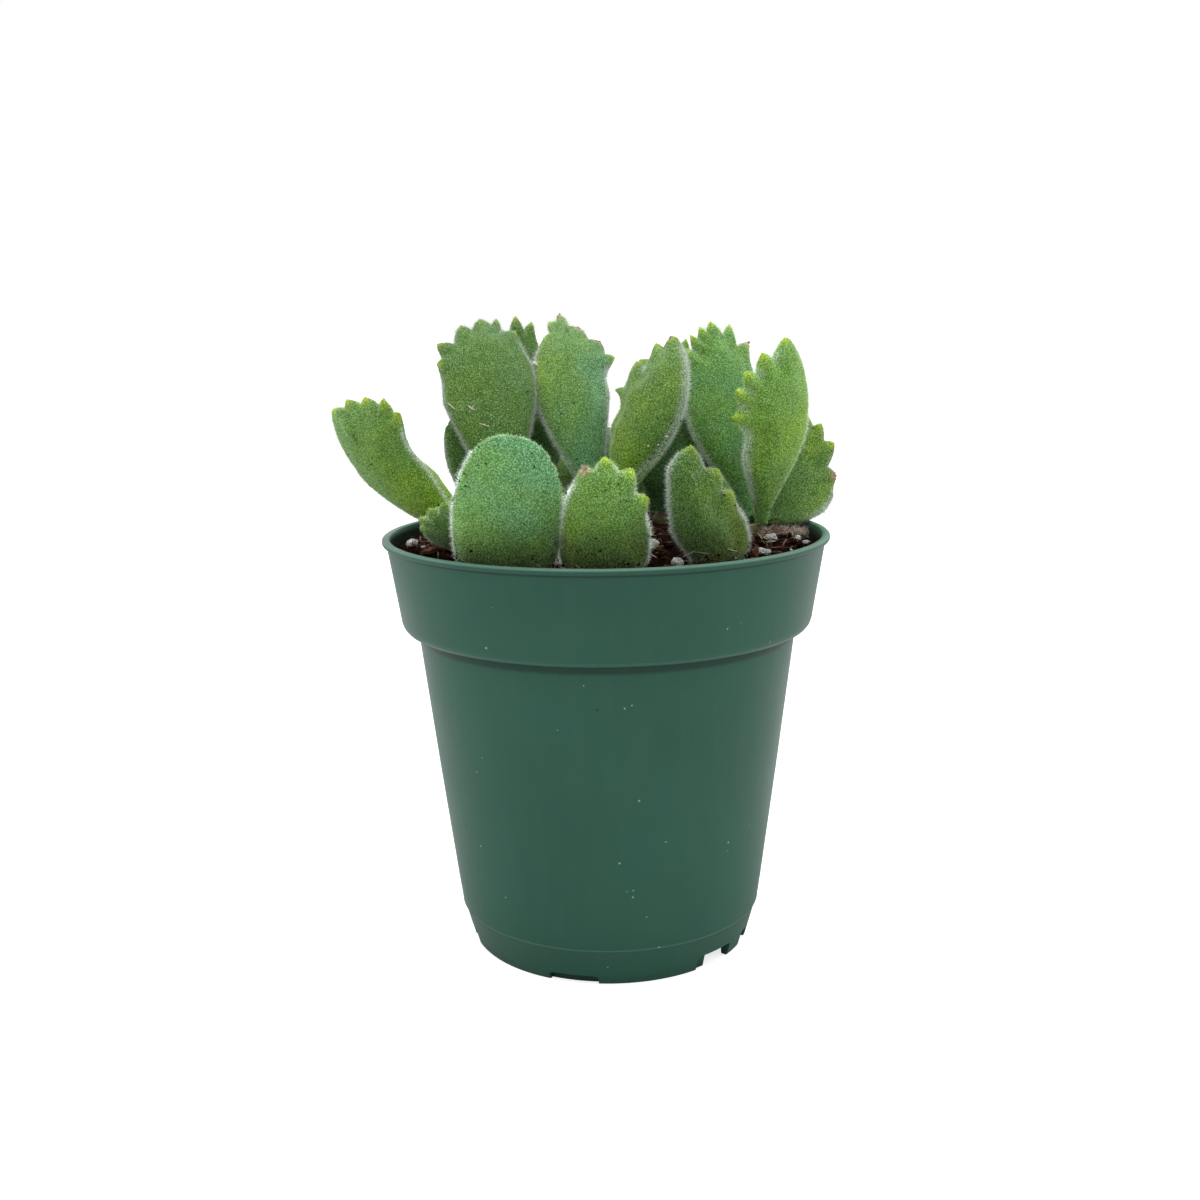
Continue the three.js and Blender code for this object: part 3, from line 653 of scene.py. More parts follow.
def pot_material(pot):
    """Satin moulded plastic with faint flow marks, scuffs and dust, and painted highlight and shade
    lines.
    """
    material, tree, shader = new_material(
        "satin_plastic", specular_ior_level=0.22, sheen_weight=0.0)
    place = object_place(tree)
    broad = noise_value(tree, place, 28.0, 3.0)
    tint = blend_colour(tree, remap(tree, broad, 0.3, 0.7), pot.green,
                        tuple(1.12 * c for c in pot.green))
    flow = put(tree, "ShaderNodeMapping", {"Vector": place, "Scale": (1.0, 1.0, 0.06)})
    streak = noise_value(tree, flow.outputs[0], 420.0, 2.0)
    tint = blend_colour(tree, remap(tree, streak, 0.4, 0.9, 0.0, 0.012), tint, pot.scuff)
    worn = remap(tree, noise_value(tree, place, 60.0, 2.0), 0.52, 0.7)
    dust = use_group(tree, speck_group(), {
        "Place": place, "Scale": 700.0, "Size": 0.22,
        "Share": math_node(tree, "MULTIPLY", worn, 0.16)})
    turned = put(tree, "ShaderNodeMapping",
                 {"Vector": place, "Rotation": (0.5, 0.7, 0.2), "Scale": (1.0, 0.22, 1.0)})
    nick = use_group(tree, speck_group(), {
        "Place": turned.outputs[0], "Scale": 420.0, "Share": 0.03, "Size": 0.13})
    marks = math_node(tree, "ADD", dust.outputs["Mask"], nick.outputs["Mask"], clamp=True)
    tint = blend_colour(tree, math_node(tree, "MULTIPLY", marks, 0.75), tint, pot.scuff)
    soil_mark = use_group(tree, speck_group(), {
        "Place": place, "Scale": 330.0, "Share": 0.006, "Size": 0.16})
    tint = blend_colour(tree, soil_mark.outputs["Mask"], tint, (0.02, 0.018, 0.013))
    skin = noise_value(tree, place, 2600.0, 2.0)
    height = math_node(tree, "ADD", math_node(tree, "MULTIPLY", skin, 0.35),
                       math_node(tree, "MULTIPLY", marks, 0.6))
    rough = math_node(tree, "ADD", remap(tree, broad, 0.25, 0.75, 0.36, 0.46),
                      math_node(tree, "MULTIPLY", marks, 0.3))
    # painted shade: the inside wall above the soil darkened to near black
    painted_inner_shade = attribute(tree, "painted_inner_shade")
    tint = blend_colour(tree, painted_inner_shade, tint, (0.010, 0.012, 0.008))
    # painted highlight lines where the line attribute is above zero, painted shade lines where it is
    # below
    line = attribute(tree, "line")
    tint = blend_colour(tree, math_node(tree, "MULTIPLY", line, 0.6, clamp=True), tint,
                        (0.16, 0.26, 0.21))
    tint = blend_colour(tree, math_node(tree, "MULTIPLY", line, -0.6, clamp=True), tint,
                        (0.004, 0.016, 0.012))
    feed(tree, shader, base_color=tint, roughness=rough,
         normal=relief(tree, height, 0.00006, 0.6))
    return material


def soil_material(soil):
    """Moist peat with drier flecks."""
    found = bpy.data.materials.get("moist_peat")
    if found:
        return found
    material, tree, shader = new_material("moist_peat", specular_ior_level=0.0)
    place = object_place(tree)
    fleck = noise_value(tree, place, 900.0, 4.0, 0.65)
    broad = noise_value(tree, place, 160.0, 2.0)
    tint = blend_colour(tree, remap(tree, fleck, 0.55, 0.8), soil.peat, soil.peat_light)
    tint = blend_colour(tree, remap(tree, broad, 0.35, 0.7, 0.0, 0.5), tint,
                        (0.022, 0.010, 0.007))
    feed(tree, shader, base_color=tint, normal=relief(tree, fleck, 0.0005, 1.0),
         roughness=remap(tree, fleck, 0.3, 0.8, 0.95, 0.75))
    return material


def fibre_material(soil):
    """Reddish brown peat and coir fibre, with some straw."""
    found = bpy.data.materials.get("peat_fibre")
    if found:
        return found
    material, tree, shader = new_material("peat_fibre", specular_ior_level=0.0)
    shade = attribute(tree, "shade")
    drift = noise_value(tree, object_place(tree), 700.0, 2.0)
    tint = blend_colour(tree, shade, (0.075, 0.030, 0.022), (0.34, 0.20, 0.15))
    tint = blend_colour(tree, remap(tree, shade, 0.85, 1.0), tint, (0.55, 0.45, 0.28))
    tint = blend_colour(tree, remap(tree, drift, 0.4, 0.7, 0.0, 0.4), tint, soil.peat)
    tint = blend_colour(tree, attribute(tree, "felt"), tint, (0.66, 0.56, 0.50))
    feed(tree, shader, base_color=tint, roughness=remap(tree, drift, 0.3, 0.7, 0.85, 0.7))
    return material


def perlite_material(soil):
    """Dull white perlite, pitted and stained by the peat."""
    found = bpy.data.materials.get("perlite_grain")
    if found:
        return found
    material, tree, shader = new_material(
        "perlite_grain", specular_ior_level=0.3, subsurface_weight=0.1,
        subsurface_radius=(0.001, 0.001, 0.001), subsurface_scale=1.0)
    place = object_place(tree)
    pits = put(tree, "ShaderNodeTexVoronoi", {"Vector": place, "Scale": 1700.0})
    stain = noise_value(tree, place, 650.0, 3.0)
    tint = blend_colour(tree, remap(tree, stain, 0.5, 0.72, 0.0, 0.75), soil.perlite,
                        (0.20, 0.16, 0.13))
    # painted shade: darker in the bottoms of the pits
    tint = blend_colour(tree, remap(tree, pits.outputs["Distance"], 0.22, 0.05, 0.0, 0.7),
                        tint, (0.10, 0.09, 0.08))
    feed(tree, shader, base_color=tint, roughness=remap(tree, stain, 0.2, 0.8, 0.8, 0.95),
         normal=relief(tree, pits.outputs["Distance"], 0.0004, 0.9))
    return material


def bark_material(soil):
    """Layered bark with pale edges."""
    found = bpy.data.materials.get("bark_layers")
    if found:
        return found
    material, tree, shader = new_material("bark_layers", specular_ior_level=0.1)
    place = object_place(tree)
    layers = put(tree, "ShaderNodeMapping", {"Vector": place, "Scale": (0.35, 1.0, 3.0)})
    grain = noise_value(tree, layers.outputs[0], 900.0, 4.0, 0.6)
    tint = blend_colour(tree, remap(tree, grain, 0.35, 0.7), tuple(0.3 * c for c in soil.bark),
                        soil.bark)
    tint = blend_colour(tree, remap(tree, grain, 0.66, 0.8), tint, (0.48, 0.32, 0.22))
    tint = blend_colour(tree, attribute(tree, "felt"), tint, (0.42, 0.32, 0.25))
    feed(tree, shader, base_color=tint, roughness=remap(tree, grain, 0.3, 0.7, 0.9, 0.75),
         normal=relief(tree, grain, 0.0004, 1.0))
    return material


# ---------------------------------------------------------------- pot

def pot_profile(pot):
    """The pot's section as [radius, height] in metres, from the axis round the wall to the axis."""
    rim, top, wall = pot.rim_radius / MM, pot.height / MM, pot.wall / MM
    outer = [
        (0, 3.8), (15, 3.8), (30.2, 3.8), (31.3, 3.5), (31.7, 2.6), (31.75, 0.25), (31.95, 0.02),
        (33.15, 0.02), (33.4, 0.3), (34.5, 4.2), (35.75, 8.7), (36.02, 8.95), (36.12, 9.15),
        (36.06, 9.35), (36.12, 9.6), (36.9, 15.2), (40.3, 42.0),
        (44.15, 74.1), (44.25, 74.9), (44.42, 75.9), (44.8, 76.25),
        (46.4, 76.6), (47.3, 77.05), (47.85, 77.8), (48.15, 78.7), (48.3, 79.7),
        (49.1, 84.8), (50.2, 91.8), (50.87, 95.95), (rim - 1.06, top - 1.75), (rim - 0.98, top - 1.42),
        (rim - 0.62, top - 1.36), (rim - 0.22, top - 1.26), (rim - 0.03, top - 1.0),
        (rim, top - 0.65), (rim - 0.06, top - 0.32), (rim - 0.28, top - 0.1),
        (rim - 0.7, top - 0.01), (rim - 1.3, top - 0.02), (rim - 1.72, top - 0.16),
        (rim - 1.95, top - 0.5),
    ]
    inner = [
        (rim - 1 - wall, top - 1.6), (49.2, 91.6), (48.1, 84.6), (47.3, 79.8), (47.0, 78.6),
        (46.2, 77.7), (43.9, 76.9), (43.45, 76.2), (43.2, 74.6), (39.3, 42.0), (35.9, 15.0),
        (35.2, 9.9), (34.6, 6.2), (34.1, 5.2), (33.2, 4.9), (20, 4.9), (0, 4.9),
    ]
    return [(r * MM, z * MM) for r, z in outer + inner]


def ring_block(angle, spread, inner, outer, low, high, bevel, deep=None):
    """A cutter: a block bent round the pot's axis, at an angle from the front in degrees.

    Where it opens under the floor it may rise to deep, over all but the first third of it.
    """
    bpy.ops.mesh.primitive_cube_add(size=1.0, location=(0, 0, 0))
    block = bpy.context.object

    def shape(bm):
        bpy.ops.mesh.select_all(action="SELECT")
        bpy.ops.mesh.subdivide(number_cuts=7)

    edit(block, shape)
    co = points_of(block)
    turn = np.radians(angle) + co[:, 0] * math.radians(spread)
    radius = inner + (co[:, 1] + 0.5) * (outer - inner)
    # round the block's upper corners, as the moulded notch has
    top = high - bevel * np.clip((np.abs(co[:, 0]) - 0.36) / 0.14, 0, 1) ** 2
    if deep is not None:
        top = np.where(radius < 0.0324, np.where(co[:, 0] > -0.2, deep, low + 0.0004), top)
    height = low + (co[:, 2] + 0.5) * (top - low)
    set_points(block, np.stack([AXIS.x + radius * np.sin(turn),
                                AXIS.y - radius * np.cos(turn), height], axis=1))

    def face_out(bm):
        bpy.ops.mesh.select_all(action="SELECT")
        bpy.ops.mesh.normals_make_consistent(inside=False)

    edit(block, face_out)
    return block


class SUCCULENT_OT_pot(bpy.types.Operator):
    """Turn the nursery pot from its section and cut the notches and drain slots in its foot"""

    bl_idname = "succulent.pot"
    bl_label = "Nursery Pot"
    bl_options = {"REGISTER", "UNDO"}

    def execute(self, context):
        pot = context.scene.succulent_pot
        section = pot_profile(pot)
        bpy.ops.object.select_all(action="DESELECT")
        bpy.ops.mesh.primitive_circle_add(vertices=len(section), radius=0.05,
                                          location=(0, 0, 0))
        obj = context.object
        set_points(obj, [(AXIS.x, AXIS.y - r, z) for r, z in section])

        def turn(bm):
            last = len(section) - 1
            for e in bm.edges:
                if {v.index for v in e.verts} == {0, last}:
                    e.select_set(True)
            bmesh.update_edit_mesh(obj.data)
            bpy.ops.mesh.delete(type="EDGE")
            bpy.ops.mesh.select_all(action="SELECT")
            bpy.ops.mesh.spin(steps=pot.sides, angle=math.tau, center=AXIS, axis=(0, 0, 1))
            bpy.ops.mesh.select_all(action="SELECT")
            bpy.ops.mesh.remove_doubles(threshold=1e-6)
            bpy.ops.mesh.normals_make_consistent(inside=False)

        edit(obj, turn)
        # each notch is cut shallow through the skirt, and deeper where it opens under the floor
        cuts = [(-14.7, 19.6, 2.1, 0.0322)]
        for turn_to in (0, 72, 144, 216):
            cuts += [(45.0 + turn_to, 19, 3.6, 0.0285), (69.5 + turn_to, 10, 3.6, 0.0322)]
        for angle, spread, height, inner in cuts:
            blocks = [ring_block(angle, spread, inner, 0.0385, -0.001, height * MM, 0.35 * MM,
                                 3.4 * MM if inner < 0.03 else None)]
            if spread > 12:
                blocks.append(ring_block(angle, 17, 0.023, 0.030, 0.0028, 0.0059, 0.0))
            for block in blocks:
                modifier = obj.modifiers.new("Cut", "BOOLEAN")
                modifier.operation = "DIFFERENCE"
                modifier.solver = "EXACT"
                modifier.object = block
                select_only(obj)
                bpy.ops.object.modifier_apply(modifier=modifier.name)
                bpy.data.objects.remove(block)
                if len(obj.data.vertices) < 5000:
                    raise RuntimeError(f"the notch at {angle} degrees took the pot away")
        smooth_by_angle(obj, 32)
        co = points_of(obj)
        radius = np.hypot(co[:, 0] - AXIS.x, co[:, 1] - AXIS.y)
        inside = (radius < np.interp(co[:, 2], (0.0049, 0.076, 0.0785, 0.098),
                                     (0.0346, 0.0438, 0.0478, 0.0507))) & (co[:, 2] > 0.0045)
        # painted shade: the inside wall above the soil darkened to near black
        paint(obj, "painted_inner_shade", np.where(inside & (co[:, 2] < 0.0966), 0.9, 0.0))
        # painted highlights on the crests and painted shade in the hollows
        z = co[:, 2] / MM
        outside = ~inside & (radius > 0.0325)
        # painted highlight on the bead above the foot
        line = np.where(outside & (np.abs(z - 9.15) < 0.12), 0.6, 0.0)
        # painted shadow under the band
        line = np.where(outside & (z > 74.6) & (z < 76.3), -1.0, line)
        # painted highlight on the band's lower edge
        line = np.where(outside & (np.abs(z - 77.05) < 0.3), 0.35, line)
        # painted highlight on the lip's crest
        line = np.where((z > 97.6) & (radius > 0.0507), 0.7, line)
        # painted shade in the notch recesses
        line = np.where((radius > 0.0321) & (radius < 0.0329) & (z < 3.7), -0.9, line)
        # painted shadow under the lip
        line = np.where(outside & (z > 96.2) & (z < 96.68), -0.8, line)
        paint(obj, "line", line)
        keep(obj, "nursery_pot", pot_material(pot), ("pot",))
        return {"FINISHED"}


# ---------------------------------------------------------------- soil

def soil_level(x, y):
    """Height of the soil in millimetres at millimetres from the pot's axis, without its crumbs."""
    mound = 2.8 * np.exp(-((x - 7) ** 2 + (y - 17) ** 2) / (2 * 9 ** 2))
    dip = 7 * smooth_step((0.5 - y) / 9.5)
    lumps = 0.45 * np.sin(0.55 * x + 1.3) * np.sin(0.6 * y + 0.4)
    level = 94.2 + mound - dip + lumps + 0.25 * np.sin(1.1 * x - 0.7 * y)
    for px, py, bottom, reach in LOOSE:
        near = np.exp(-((x - px) ** 2 + (y - py) ** 2) / (2 * reach ** 2))
        level = level + near * np.maximum(0, bottom + 0.3 - level)
    return level


def crumbly(x, y):
    """Crumbs on the soil's surface, in millimetres."""
    place = Vector((x, y, 3.0))
    clods = noise.noise(place * 0.35) * 0.9 + noise.noise(place * 0.8) * 0.8
    return clods + abs(noise.noise(place * 1.7)) * 0.9 + noise.noise(place * 3.1) * 0.3 - 0.3


def soil_top(x, y):
    """Height of the finished soil in metres, at a place in metres in the plant's frame."""
    px, py = (x - AXIS.x) / MM, (y - AXIS.y) / MM
    return (float(soil_level(px, py)) + crumbly(px, py)) * MM


def wall_inside(z):
    """Inside radius of the pot in metres at a height in metres."""
    return float(np.interp(z / MM, (4.9, 9.9, 42, 76.2, 77.7, 79.8, 96.4),
                           (34.0, 35.2, 39.3, 43.45, 46.2, 47.3, 50.0))) * MM


class SUCCULENT_OT_soil(bpy.types.Operator):
    """Fill the pot with potting mix: a crumbly top and a plain body down to the floor"""

    bl_idname = "succulent.soil"
    bl_label = "Potting Mix"
    bl_options = {"REGISTER", "UNDO"}

    def execute(self, context):
        soil = context.scene.succulent_soil
        cells = int(round(0.1 / soil.cell))
        bpy.ops.object.select_all(action="DESELECT")
        bpy.ops.mesh.primitive_grid_add(x_subdivisions=cells, y_subdivisions=cells, size=0.1,
                                        location=AXIS)
        obj = context.object
        settle(obj)
        # the square grid drawn out to a disc, so that its border follows the wall
        co = points_of(obj)
        flat = co[:, :2] - np.array(AXIS[:2])
        u, v = flat[:, 0] / 0.05, flat[:, 1] / 0.05
        disc = np.stack([u * np.sqrt(1 - v ** 2 / 2), v * np.sqrt(1 - u ** 2 / 2)], axis=1)
        reach = np.hypot(disc[:, 0], disc[:, 1])
        turn = np.arctan2(disc[:, 1], disc[:, 0])
        for i, (r, a) in enumerate(zip(reach, turn)):
            edge_z = float(soil_level(48.5 * math.cos(a), 48.5 * math.sin(a)))
            radius = r * (wall_inside((edge_z - 0.4) * MM) + 0.35 * MM)
            x, y = AXIS.x + radius * math.cos(a), AXIS.y + radius * math.sin(a)
            co[i] = (x, y, soil_top(x, y))
        set_points(obj, co)

        def body(bm):
            bpy.ops.mesh.select_mode(type="EDGE")
            for z, radius in ((0.0776, 0.0462), (0.0762, 0.0437), (0.0099, 0.0354),
                              (0.0052, 0.0336)):
                bpy.ops.mesh.select_all(action="DESELECT")
                for e in bm.edges:
                    if e.is_boundary:
                        e.select_set(True)
                bmesh.update_edit_mesh(obj.data)
                bpy.ops.mesh.extrude_region_move()
                for w in bm.verts:
                    if w.select:
                        out = Vector((w.co.x - AXIS.x, w.co.y - AXIS.y, 0)).normalized()
                        w.co = Vector((AXIS.x, AXIS.y, z)) + out * radius
                bmesh.update_edit_mesh(obj.data)
            bpy.ops.mesh.edge_face_add()
            bpy.ops.mesh.select_mode(type="VERT")
            bpy.ops.mesh.select_all(action="SELECT")
            bpy.ops.mesh.normals_make_consistent(inside=False)

        edit(obj, body)
        smooth_by_angle(obj, 55)
        keep(obj, "potting_mix", soil_material(soil), ("soil",))
        return {"FINISHED"}


def lump(seed, subdivisions, roughness):
    """Points and faces of one rough unit lump, modelled from a ball."""
    bpy.ops.object.select_all(action="DESELECT")
    bpy.ops.mesh.primitive_ico_sphere_add(subdivisions=subdivisions, radius=1.0,
                                          location=(0, 0, 0))
    ball = bpy.context.object
    co = points_of(ball)
    for i, p in enumerate(co):
        place = Vector(p) * 0.9 + Vector((seed * 7.3, seed * 3.1, 0))
        grow = 1 + roughness * noise.noise(place) + 0.5 * roughness * noise.noise(place * 2.7)
        co[i] = p * grow
    faces = np.array([tuple(f.vertices) for f in ball.data.polygons])
    bpy.data.objects.remove(ball)
    return co, faces


def scatter_lumps(name, places, sizes, flat, shapes, rng):
    """Many lumps in one mesh, each copied from one of the shapes, turned and scaled."""
    points, faces, count = [], [], 0
    for place, size in zip(places, sizes):
        co, tri = shapes[rng.integers(len(shapes))]
        turn = Matrix.Rotation(rng.uniform(0, math.tau), 3, "Z") @ Matrix.Rotation(
            rng.uniform(0, math.tau), 3, "X")
        scale = size * rng.uniform(0.6, 1.0, 3) * np.array((1.25, 1.0, 1.0))
        moved = (co * scale) @ np.array(turn).T
        moved[:, 2] *= flat
        points.append(moved + place)
        faces.append(tri + count)
        count += len(co)
    return from_arrays(name, np.concatenate(points), np.concatenate(faces))


def soil_places(rng, count, reach=47.5):
    """Random places on the soil, in metres."""
    radius = reach * np.sqrt(rng.uniform(0, 1, count))
    turn = rng.uniform(0, math.tau, count)
    found = []
    for r, a in zip(radius, turn):
        x, y = AXIS.x + r * MM * math.cos(a), AXIS.y + r * MM * math.sin(a)
        found.append((x, y, soil_top(x, y)))
    return np.array(found)


def strands(name, paths, radii, sides=3):
    """Thin closed strands in one mesh, each swept along its own path."""
    points, faces, shades, count = [], [], [], 0
    for path, radius in zip(paths, radii):
        along = np.gradient(path, axis=0)
        along /= np.linalg.norm(along, axis=1)[:, None] + 1e-12
        side = np.cross(along, (0.31, 0.17, 0.94))
        side /= np.linalg.norm(side, axis=1)[:, None] + 1e-12
        lift = np.cross(side, along)
        taper = radius * (1 - 0.75 * np.abs(np.linspace(-1, 1, len(path))) ** 3)
        for k in range(sides):
            a = k * math.tau / sides
            ring = path + taper[:, None] * (math.cos(a) * side + math.sin(a) * lift)
            points.append(ring)
        n = len(path)
        for k in range(sides):
            here, there = count + k * n, count + ((k + 1) % sides) * n
            for i in range(n - 1):
                faces.append((here + i, here + i + 1, there + i + 1))
                faces.append((here + i, there + i + 1, there + i))
        for end in (0, n - 1):
            tip = [count + k * n + end for k in range(sides)]
            for k in range(1, sides - 1):
                faces.append((tip[0], tip[k], tip[k + 1]) if end == 0
                             else (tip[0], tip[k + 1], tip[k]))
        count += sides * n
        shades.append(sides * n)
    obj = from_arrays(name, np.concatenate(points), np.array(faces))

    def face_out(bm):
        bpy.ops.mesh.select_all(action="SELECT")
        bpy.ops.mesh.normals_make_consistent(inside=False)

    edit(obj, face_out)
    return obj, shades


class SUCCULENT_OT_soil_litter(bpy.types.Operator):
    """Scatter loose crumbs, fibres and fine perlite over the soil"""

    bl_idname = "succulent.soil_litter"
    bl_label = "Crumbs and Fibres"
    bl_options = {"REGISTER", "UNDO"}

    def execute(self, context):
        soil = context.scene.succulent_soil
        rng = np.random.default_rng(11)
        small = [lump(s, 1, 0.5) for s in range(5)]
        large = [lump(s + 20, 2, 0.7) for s in range(5)]
        count = soil.crumbs
        crumbs = scatter_lumps("peat_crumbs", soil_places(rng, count),
                               rng.uniform(0.25, 0.75, count) * MM, 0.8, small, rng)
        smooth_by_angle(crumbs, 60)
        keep(crumbs, "peat_crumbs", soil_material(soil))
        clods = scatter_lumps("peat_clods", soil_places(rng, count // 6, 46.0),
                              rng.uniform(0.7, 1.5, count // 6) * MM, 0.7, large, rng)
        smooth_by_angle(clods, 60)
        keep(clods, "peat_clods", soil_material(soil))

        paths, radii, shade = [], [], []
        for x, y, z in soil_places(rng, soil.fibres, 47.0):
            length = rng.uniform(1.5, 6.5) * MM
            z += rng.uniform(0, 1.3) * MM
            heading, rise = rng.uniform(0, math.tau), rng.uniform(-0.15, 0.5)
            bend = rng.normal(0, 1.4)
            t = np.linspace(0, 1, 7)
            turn = heading + bend * t
            step = length / 6
            xs = x + np.cumsum(np.cos(turn)) * step
            ys = y + np.cumsum(np.sin(turn)) * step
            zs = z + 0.25 * MM + length * rise * np.sin(t * math.pi * rng.uniform(0.5, 1.0))
            reach = np.hypot(xs - AXIS.x, ys - AXIS.y).max()
            if reach > 0.0478:
                continue
            paths.append(np.stack([xs, ys, zs], axis=1))
            radii.append(rng.uniform(0.06, 0.17) * MM)
            shade.append(rng.uniform(0, 1) ** 1.6)
        fibres, sizes = strands("peat_fibres", paths, radii)
        paint(fibres, "felt", np.zeros(sum(sizes)))
        paint(fibres, "shade", np.repeat(shade, sizes))
        smooth_by_angle(fibres, 80)
        keep(fibres, "peat_fibres", fibre_material(soil))

        grains = scatter_lumps("fine_perlite", soil_places(rng, 70, 47.0),
                               rng.uniform(0.2, 0.75, 70) * MM, 0.85, large, rng)
        smooth_by_angle(grains, 50)
        keep(grains, "fine_perlite", perlite_material(soil))
        return {"FINISHED"}


class SUCCULENT_OT_perlite(bpy.types.Operator):
    """Shape the larger perlite grains as lumpy popped pebbles"""

    bl_idname = "succulent.perlite"
    bl_label = "Perlite Grains"
    bl_options = {"REGISTER", "UNDO"}

    def execute(self, context):
        soil = context.scene.succulent_soil
        for i, node in enumerate(PERLITE_NODES):
            low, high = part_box(node)
            bpy.ops.object.select_all(action="DESELECT")
            bpy.ops.mesh.primitive_ico_sphere_add(subdivisions=4, radius=1.0,
                                                  location=(0, 0, 0))
            grain = context.object
            co = points_of(grain)
            for k, p in enumerate(co):
                place = Vector(p) + Vector((i * 5.1, 2.0, 0))
                grow = 1 + 0.3 * noise.noise(place * 1.3) + 0.13 * noise.noise(place * 3.7)
                co[k] = p * grow
            half = np.array((high - low) / 2)
            co = co / np.abs(co).max(axis=0) * half * (1.08, 1.08, 1.15)
            set_points(grain, co + np.array((high + low) / 2) - (0, 0, 0.3 * MM))
            smooth_by_angle(grain, 45)
            keep(grain, f"popped_{node}", perlite_material(soil), (node,))
        return {"FINISHED"}


class SUCCULENT_OT_bark(bpy.types.Operator):
    """Split and roughen the bark chips that lie on the soil"""

    bl_idname = "succulent.bark"
    bl_label = "Bark Chips"
    bl_options = {"REGISTER", "UNDO"}

    def execute(self, context):
        soil = context.scene.succulent_soil
        for node in BARK_NODES:
            chip = merged_copy(node, f"split_{node}")

            def cut(bm):
                bpy.ops.mesh.select_all(action="SELECT")
                bpy.ops.mesh.tris_convert_to_quads()
                bpy.ops.mesh.bevel(offset=0.12 * MM, segments=2)
                bpy.ops.mesh.select_all(action="SELECT")
                bpy.ops.mesh.subdivide(number_cuts=4)

            edit(chip, cut)
            co = points_of(chip)
            for k, p in enumerate(co):
                q = Vector(p) * 420
                co[k] += np.array(noise.noise_vector(q)) * 0.35 * MM + (0, 0, -0.25 * MM)
            set_points(chip, co)
            low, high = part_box(node)
            paint(chip, "felt", np.full(len(co), float((high - low).x > 6 * MM)))
            smooth_by_angle(chip, 40)
            keep(chip, f"split_{node}", bark_material(soil), (node,))
        return {"FINISHED"}


